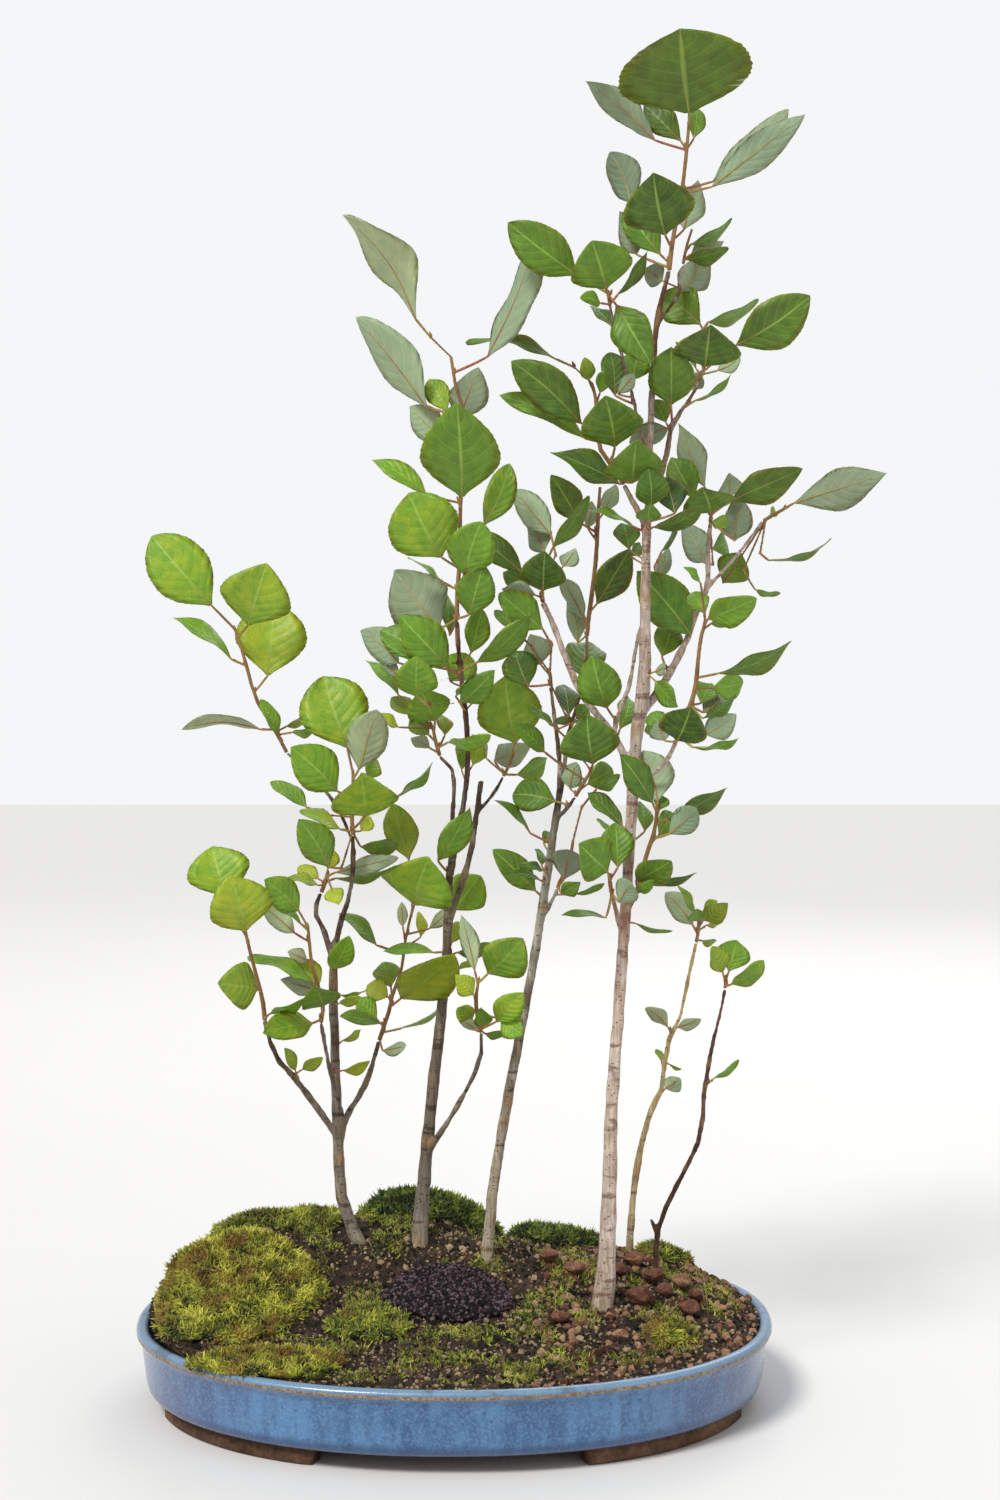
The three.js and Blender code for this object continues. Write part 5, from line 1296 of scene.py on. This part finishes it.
class Ground:
    """The soil's surface as the CAD gives it, with the stems' holes bridged."""

    def __init__(self) -> None:
        """Reads the soil mound's node."""
        bm = merged_copy("soil_mound")
        self.tree = BVHTree.FromBMesh(bm)
        bm.free()

    def hit(self, x: float, y: float) -> float | None:
        """Height of the first soil below a spot."""
        spot = self.tree.ray_cast(Vector((x, y, 1.0)), -UP)[0]
        return None if spot is None else spot.z

    def height(self, x: float, y: float) -> float:
        """Height of the soil at a spot, read past any hole."""
        reads = []
        for k in range(8):
            angle = math.pi * k / 4
            found = self.hit(x + HOLE_REACH * math.cos(angle), y + HOLE_REACH * math.sin(angle))
            if found is not None:
                reads.append(found)
        here = self.hit(x, y)
        middle = float(np.median(reads)) if reads else CAD_TRAY[1][2] - 3 * MM
        return middle if here is None or here < middle - HOLE_DEPTH else (here + middle) / 2


@dataclass
class Soil:
    """The soil's visible surface and the grains on it."""

    ground: Ground
    rings: int = 92
    facets: int = 200
    wall: float = 6.4 * MM
    skirt: tuple[float, ...] = (30 * MM, 20 * MM)
    mossy: tuple[float, float] = (0.148 - 6.4 * MM, 0.11 - 6.4 * MM)
    bare_spot: tuple[float, float] = (-0.002, -0.022)
    bare_reach: tuple[float, float] = (0.034, 0.021)
    clay_side: float = 40 * MM
    lumps: float = 1.4 * MM
    crumbs: float = 0.8 * MM
    steepest: float = 0.3
    grain_specs: tuple[ScatterSpec, ...] = (
        ScatterSpec("fine_grit", 0.15, 1.1 * MM, 2.4 * MM, 11),
        ScatterSpec("coarse_grit", 0.022, 2.4 * MM, 4.6 * MM, 23),
    )

    def surface(self, tray: Tray) -> MeshDraft:
        """The soil as a closed body whose top is rough."""
        draft = MeshDraft()
        rim = tray.ring(self.wall, 0.0)
        rim = [rim[int(k * len(rim) / self.facets)] for k in range(self.facets)]
        points: list[Vector] = [TRAY_CENTRE + UP * self.ground.height(TRAY_CENTRE.x, TRAY_CENTRE.y)]
        for i in range(1, self.rings + 1):
            share = i / self.rings
            for edge in rim:
                spot = TRAY_CENTRE.lerp(edge, share)
                z = self.ground.height(spot.x, spot.y)
                rough = noise.noise(Vector((spot.x * 160, spot.y * 160, 3))) * self.lumps
                rough += noise.noise(Vector((spot.x * 520, spot.y * 520, 7))) * self.crumbs
                points.append(Vector((spot.x, spot.y, z + rough * min(1.0, 6 * (1 - share) + 0.3))))
        for height in self.skirt:
            narrow = (TRAY_CENTRE.lerp(edge, 0.94) for edge in rim)
            points.extend(Vector((spot.x, spot.y, height)) for spot in narrow)
        n = self.facets
        faces: list[Face] = [(0, 1 + k, 1 + (k + 1) % n) for k in range(n)]
        faces += band_faces(self.rings + 1, n, first=1)
        last = 1 + (self.rings + 1) * n
        faces.append(tuple(last + k for k in reversed(range(n))))
        draft.add(points, faces, 0)
        return draft

    def build(self, tray: Tray) -> None:
        """Builds the soil and its two sizes of grain."""
        dark = EarthFinish("soil_ground", "14110f", "30251c", "5e4733", 0.0035, 0.0012)
        grains = EarthFinish("soil_grains", "0f0d0b", "3a2f24", "a68f6e", 0.003, 0.0006, 0.85)
        body = self.surface(tray).build("soil_surface", [dark.material()])
        finish_piece(body, "soil", "soil_mound")
        material = grains.material()
        for spec in self.grain_specs:
            strewn = emitter_of(body, "soil_" + spec.name, self.is_upward)
            scatter(strewn, spec, material)
            finish_piece(strewn, "soil")
            LOG.info("%s: %d faces", strewn.name, len(strewn.data.polygons))
        clods = EarthFinish("clod_grains", "3c261d", "6c4737", "a88266", 0.003, 0.0006, 0.7)
        side = TRAY_CENTRE.x + self.clay_side
        right = emitter_of(body, "clay_crumbs", lambda p: self.is_upward(p) and p.center.x > side)
        scatter(right, ScatterSpec("clay_crumbs", 0.03, 2.4 * MM, 6.4 * MM, 31), clods.material())
        finish_piece(right, "fired_clay")
        LOG.info("%s: %d faces", right.name, len(right.data.polygons))
        tufts = emitter_of(body, "moss_tufts", self.is_mossy)
        shoots = ScatterSpec("moss_tufts", 0.75, 2.2 * MM, 5.6 * MM, 37, sides=3, tilt=1.0)
        scatter(tufts, shoots, OLIVE.material())
        finish_piece(tufts, "moss_golden")
        LOG.info("%s: %d faces", tufts.name, len(tufts.data.polygons))

    def is_upward(self, polygon: bpy.types.MeshPolygon) -> bool:
        """Whether a face of the soil is level enough for grains to lie on it."""
        return polygon.normal.z > self.steepest

    def is_mossy(self, polygon: bpy.types.MeshPolygon) -> bool:
        """Whether a face of the soil lies in one of the small tufts of moss."""
        spot = polygon.center - TRAY_CENTRE
        rise = noise.noise(Vector((spot.x * 62, spot.y * 62, 1.5)))
        rise += 0.45 * noise.noise(Vector((spot.x * 190, spot.y * 190, 4.0)))
        inner = math.hypot(spot.x / self.mossy[0], spot.y / self.mossy[1]) < 1.0
        away = (spot.x - self.bare_spot[0], spot.y - self.bare_spot[1])
        bare = math.hypot(away[0] / self.bare_reach[0], away[1] / self.bare_reach[1]) < 1.0
        return self.is_upward(polygon) and inner and not bare and rise > 0.08


def emitter_of(body: Piece, name: str, keep: Callable[[bpy.types.MeshPolygon], bool]) -> Piece:
    """A new object holding the faces of a body that pass a test."""
    kept = [tuple(p.vertices) for p in body.data.polygons if len(p.vertices) < 5 and keep(p)]
    mesh = bpy.data.meshes.new(name)
    mesh.from_pydata([tuple(v.co) for v in body.data.vertices], [], kept)
    return placed(name, mesh)


@dataclass
class MossMat:
    """One moss mat or grit heap: a lumpy cushion and what grows or lies on it."""

    node: str
    slot: str
    finish: MossFinish | EarthFinish
    spec: ScatterSpec
    lump: float = 1.8 * MM
    fine: float = 0.5 * MM
    voxel: float = 1.1 * MM
    bedding: float = 1.7 * MM

    def build(self, ground: Ground) -> None:
        """Builds the cushion and its cover as two pieces."""
        bm = merged_copy(self.node)
        points, faces = remeshed(bm, self.voxel, 6)
        normals = normals_of(points, faces)
        tones = []
        for i, (p, n) in enumerate(zip(points, normals)):
            lump = noise.noise(Vector((p[0] * 150, p[1] * 150, p[2] * 150)))
            fine = noise.noise(Vector((p[0] * 600, p[1] * 600, p[2] * 600)))
            if n[2] > 0.0:
                points[i] = p + n * (self.lump * lump + self.fine * fine)
            else:
                points[i] = (p[0], p[1], p[2] - self.bedding)
            tones.append((0.12, 0.5 + 0.5 * lump, 0.0, 1.0))
        draft = MeshDraft()
        draft.add(points.tolist(), faces, 0, tones=tones)
        material = self.finish.material()
        body = draft.build(self.node + "_bed", [material])
        finish_piece(body, self.slot, self.node)
        cover = emitter_of(body, self.node + "_cover", lambda p: p.normal.z > -0.1)
        scatter(cover, self.spec, material)
        finish_piece(cover, self.slot)
        LOG.info("%s: %d faces", cover.name, len(cover.data.polygons))


@dataclass
class ClayLump:
    """A broken lump of baked clay."""

    node: str
    seed: int
    sink: float = 1.2 * MM

    def build(self, material: Material) -> None:
        """Builds the lump with chipped corners and a pitted skin."""
        low, high = (Vector(corner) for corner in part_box(self.node))
        centre, half = (low + high) / 2, (high - low) / 2
        bm = bmesh.new()
        bmesh.ops.create_icosphere(bm, subdivisions=4, radius=1.0)
        shift = Vector((self.seed * 3.7, self.seed * 1.9, 0))
        draws = [random.Random(self.seed * 31 + k) for k in range(7)]
        cuts = [Vector(draw.choices((-1, -0.5, 0.4, 1), k=3)).normalized() for draw in draws]
        for v in bm.verts:
            way = v.co.normalized()
            radius = 1.02
            for cut in cuts:
                lean = way.dot(cut)
                if lean > 0.75:
                    radius = min(radius, 0.78 / lean)
            radius += 0.1 * noise.noise(way * 2.1 + shift) + 0.035 * noise.noise(way * 8 + shift)
            v.co = centre + way * half * radius - UP * self.sink
        mesh = bpy.data.meshes.new(self.node)
        bm.to_mesh(mesh)
        bm.free()
        mesh.polygons.foreach_set("use_smooth", [True] * len(mesh.polygons))
        mesh.materials.append(material)
        own = random.Random(self.seed).random()
        write_tones(mesh, np.tile((own, 0.5, 0.0, 1.0), len(mesh.vertices)))
        finish_piece(placed(self.node + "_clod", mesh), "fired_clay", self.node)


# ------------------------------------------------------------------ studio


@dataclass
class Studio:
    """Floor, soft lights and the camera."""

    distance: float = 1.0
    aside: float = 0.0225
    eye: float = 0.342
    lens: float = 48.0
    shift: float = -0.0287
    sun: float = 2.3
    sun_angle: float = 0.3
    sky_light: float = 0.52
    sky_seen: float = 0.95

    def build(self) -> None:
        """Builds the floor, the lights and the camera."""
        self.floor()
        self.light("fill", (1.5, -0.9, 0.9), 1.4, 3.2, (0.95, 0.97, 1.0, 1.0))
        self.light("back", (0.5, 1.5, 1.5), 1.2, 9.0, (1.0, 1.0, 1.0, 1.0))
        sun = bpy.data.lights.new("key", "SUN")
        sun.energy = self.sun
        sun.angle = self.sun_angle
        sun.color = (1.0, 0.985, 0.95)
        heading = Vector((0.75, 0.95, -1.5))
        placed("key", sun).rotation_euler = heading.to_track_quat("-Z", "Y").to_euler()
        world = bpy.data.worlds.new("soft_sky")
        bpy.context.scene.world = world
        world.use_nodes = True
        sky = Wires(world.node_tree)
        seen = sky.add("ShaderNodeLightPath").outputs["Is Camera Ray"]
        ground = world.node_tree.nodes["Background"]
        ground.inputs["Color"].default_value = (0.96, 0.97, 0.98, 1.0)
        sky.feed(ground.inputs["Strength"], sky.span(seen, 0.0, 1.0, self.sky_light, self.sky_seen))
        camera = bpy.data.cameras.new("camera")
        camera.lens = self.lens
        camera.sensor_width = 36.0
        camera.shift_y = self.shift
        camera.clip_end = 50.0
        holder = placed("camera", camera)
        holder.location = TRAY_CENTRE + Vector((self.aside, -self.distance, self.eye))
        holder.rotation_euler = (math.pi / 2, 0.0, 0.0)
        bpy.context.scene.camera = holder
        bpy.context.scene.view_settings.view_transform = "Standard"

    def floor(self) -> None:
        """A plain pale floor."""
        mesh = bpy.data.meshes.new("floor")
        mesh.from_pydata([(-6, -6, 0), (6, -6, 0), (6, 6, 0), (-6, 6, 0)], [], [(0, 1, 2, 3)])
        material, w, shader = new_material("floor_paint")
        cloud = w.noise(w.place(), 3.0, 3)
        w.feed(shader.inputs["Base Color"], w.mix(cloud, (0.77, 0.765, 0.76, 1), (0.8, 0.795, 0.79, 1)))
        shader.inputs["Roughness"].default_value = 0.8
        mesh.materials.append(material)
        floor = placed("floor", mesh)

    def light(
        self, name: str, place: tuple[float, float, float], size: float, power: float, colour: Colour
    ) -> None:
        """Adds a square soft light that faces the middle of the grove."""
        lamp = bpy.data.lights.new(name, "AREA")
        lamp.size = size
        lamp.energy = power
        lamp.color = colour[:3]
        holder = placed(name, lamp)
        holder.location = place
        heading = Vector((0, 0, 0.3)) - Vector(place)
        holder.rotation_euler = heading.to_track_quat("-Z", "Y").to_euler()


# ------------------------------------------------------------------ assembly

BARKS = {
    1: BarkFinish(
        "bark_one",
        ((0.05, "8f877a"), (0.13, "877a6a"), (0.17, "5c4937"), (0.3, "4a3323")),
        "2b201a", "b3aa9b", 0.5,
    ),
    2: BarkFinish(
        "bark_two",
        ((0.05, "9b9488"), (0.11, "75695a"), (0.25, "665340"), (0.3, "4c3526"),
         (0.4, "6e4026")),
        "2e211a", "b0a694", 0.5,
    ),
    3: BarkFinish(
        "bark_three",
        ((0.05, "b8aa95"), (0.13, "9b8c78"), (0.18, "6d5d4b"), (0.24, "a7a291"),
         (0.3, "4a3b2c"), (0.36, "7a5a30")),
        "30261e", "d5cdbf", 0.6,
    ),
    4: BarkFinish(
        "bark_four",
        ((0.03, "ab9073"), (0.08, "cbb8a8"), (0.21, "c4ab9a"), (0.24, "9a6f58"),
         (0.3, "c0aea1"), (0.42, "a8907e"), (0.5, "6e4a34"), (0.58, "54301f")),
        "6b4230", "e6dad0", 0.55,
    ),
    5: BarkFinish(
        "bark_five",
        ((0.03, "a3936f"), (0.22, "c2a66c")),
        "4e3b2a", "d8c9a2", 0.5,
    ),
    6: BarkFinish(
        "bark_six",
        ((0.03, "6d4f3e"), (0.1, "4a2f28"), (0.2, "5e3529")),
        "2a1c1a", "8c6c58", 0.4,
    ),
}
DEEPNESS = {1: 0.4, 2: 0.5, 3: 0.74, 4: 0.72, 5: 0.55, 6: 0.55}

UPPER_FACE = LeafFinish(LeafFace.UPPER, "b2bf2a", "6d9f20", "264c14", "9dbb52")
UNDER_FACE = LeafFinish(
    LeafFace.UNDER, "b4c08a", "94ab84", "718c70", "b9c6a4", vein_share=0.3, roughness=0.6
)
GOLDEN = MossFinish("moss_golden", "23250b", "878c1e", "e0de5a", "7a4a22", 0.8)
OLIVE = MossFinish("moss_olive", "1c200c", "6a781c", "c6c850", "64401e", 0.7)
GREEN = MossFinish("moss_green", "10180a", "40581c", "a6b444", "3c2c18", 0.45)
HEAP = EarthFinish("dark_granulate", "120e12", "33262c", "6e5a60", 0.002, 0.0006, 0.8)


def main() -> None:
    """Builds every sub-assembly in order."""
    logging.basicConfig(level=logging.INFO, format="%(message)s")
    build_speckle_group()
    build_vein_group()
    build_bark_group()
    tray = Tray()
    tray.build()
    screen = EarthFinish("screen_plastic", "141614", "1e211f", "2b2f2c", 0.004, 0.0002, 0.0, 0.6)
    plastic = screen.material()
    for node in ("drain_screen_left", "drain_screen_right"):
        data = frame["nodes"][node].data
        data.materials.clear()
        data.materials.append(plastic)
    ground = Ground()
    Soil(ground).build(tray)
    mats = {
        "moss_cushion_left": GOLDEN, "moss_cushion_front_left": GOLDEN, "moss_patch_front": OLIVE,
        "moss_tuft_right": GOLDEN, "moss_tuft_back": OLIVE, "moss_bank_left": OLIVE,
        "moss_bank_back": GREEN, "moss_bank_right": GREEN,
    }
    for index, (node, moss) in enumerate(mats.items()):
        longest = 8.0 * MM if moss is GREEN else 6.4 * MM
        shoots = ScatterSpec(node, 0.95, 2.8 * MM, longest, 40 + index, sides=3, tilt=0.8)
        MossMat(node, SLOTS[node], moss, shoots).build(ground)
    heap = ScatterSpec("grit_heap", 0.6, 1.2 * MM, 2.6 * MM, 61)
    MossMat("grit_heap", "dark_grit", HEAP, heap, 0.6 * MM).build(ground)
    clay = EarthFinish("fired_clay", "45291f", "734a3a", "b08a6c", 0.003, 0.0012, 0.3).material()
    for number in range(1, 12):
        ClayLump(f"clay_lump_{number}", number).build(clay)
    total = Plants(BARKS, DEEPNESS).build()
    LOG.info("blades in all: %d", total)
    pieces = [piece for piece in bpy.data.objects if piece.type == "MESH"]
    counts = {piece.name: sum(len(face.vertices) - 2 for face in piece.data.polygons) for piece in pieces}
    LOG.info("triangles in all: %d, most on one piece: %d", sum(counts.values()), max(counts.values()))
    Studio().build()


if __name__ == "__main__":
    main()
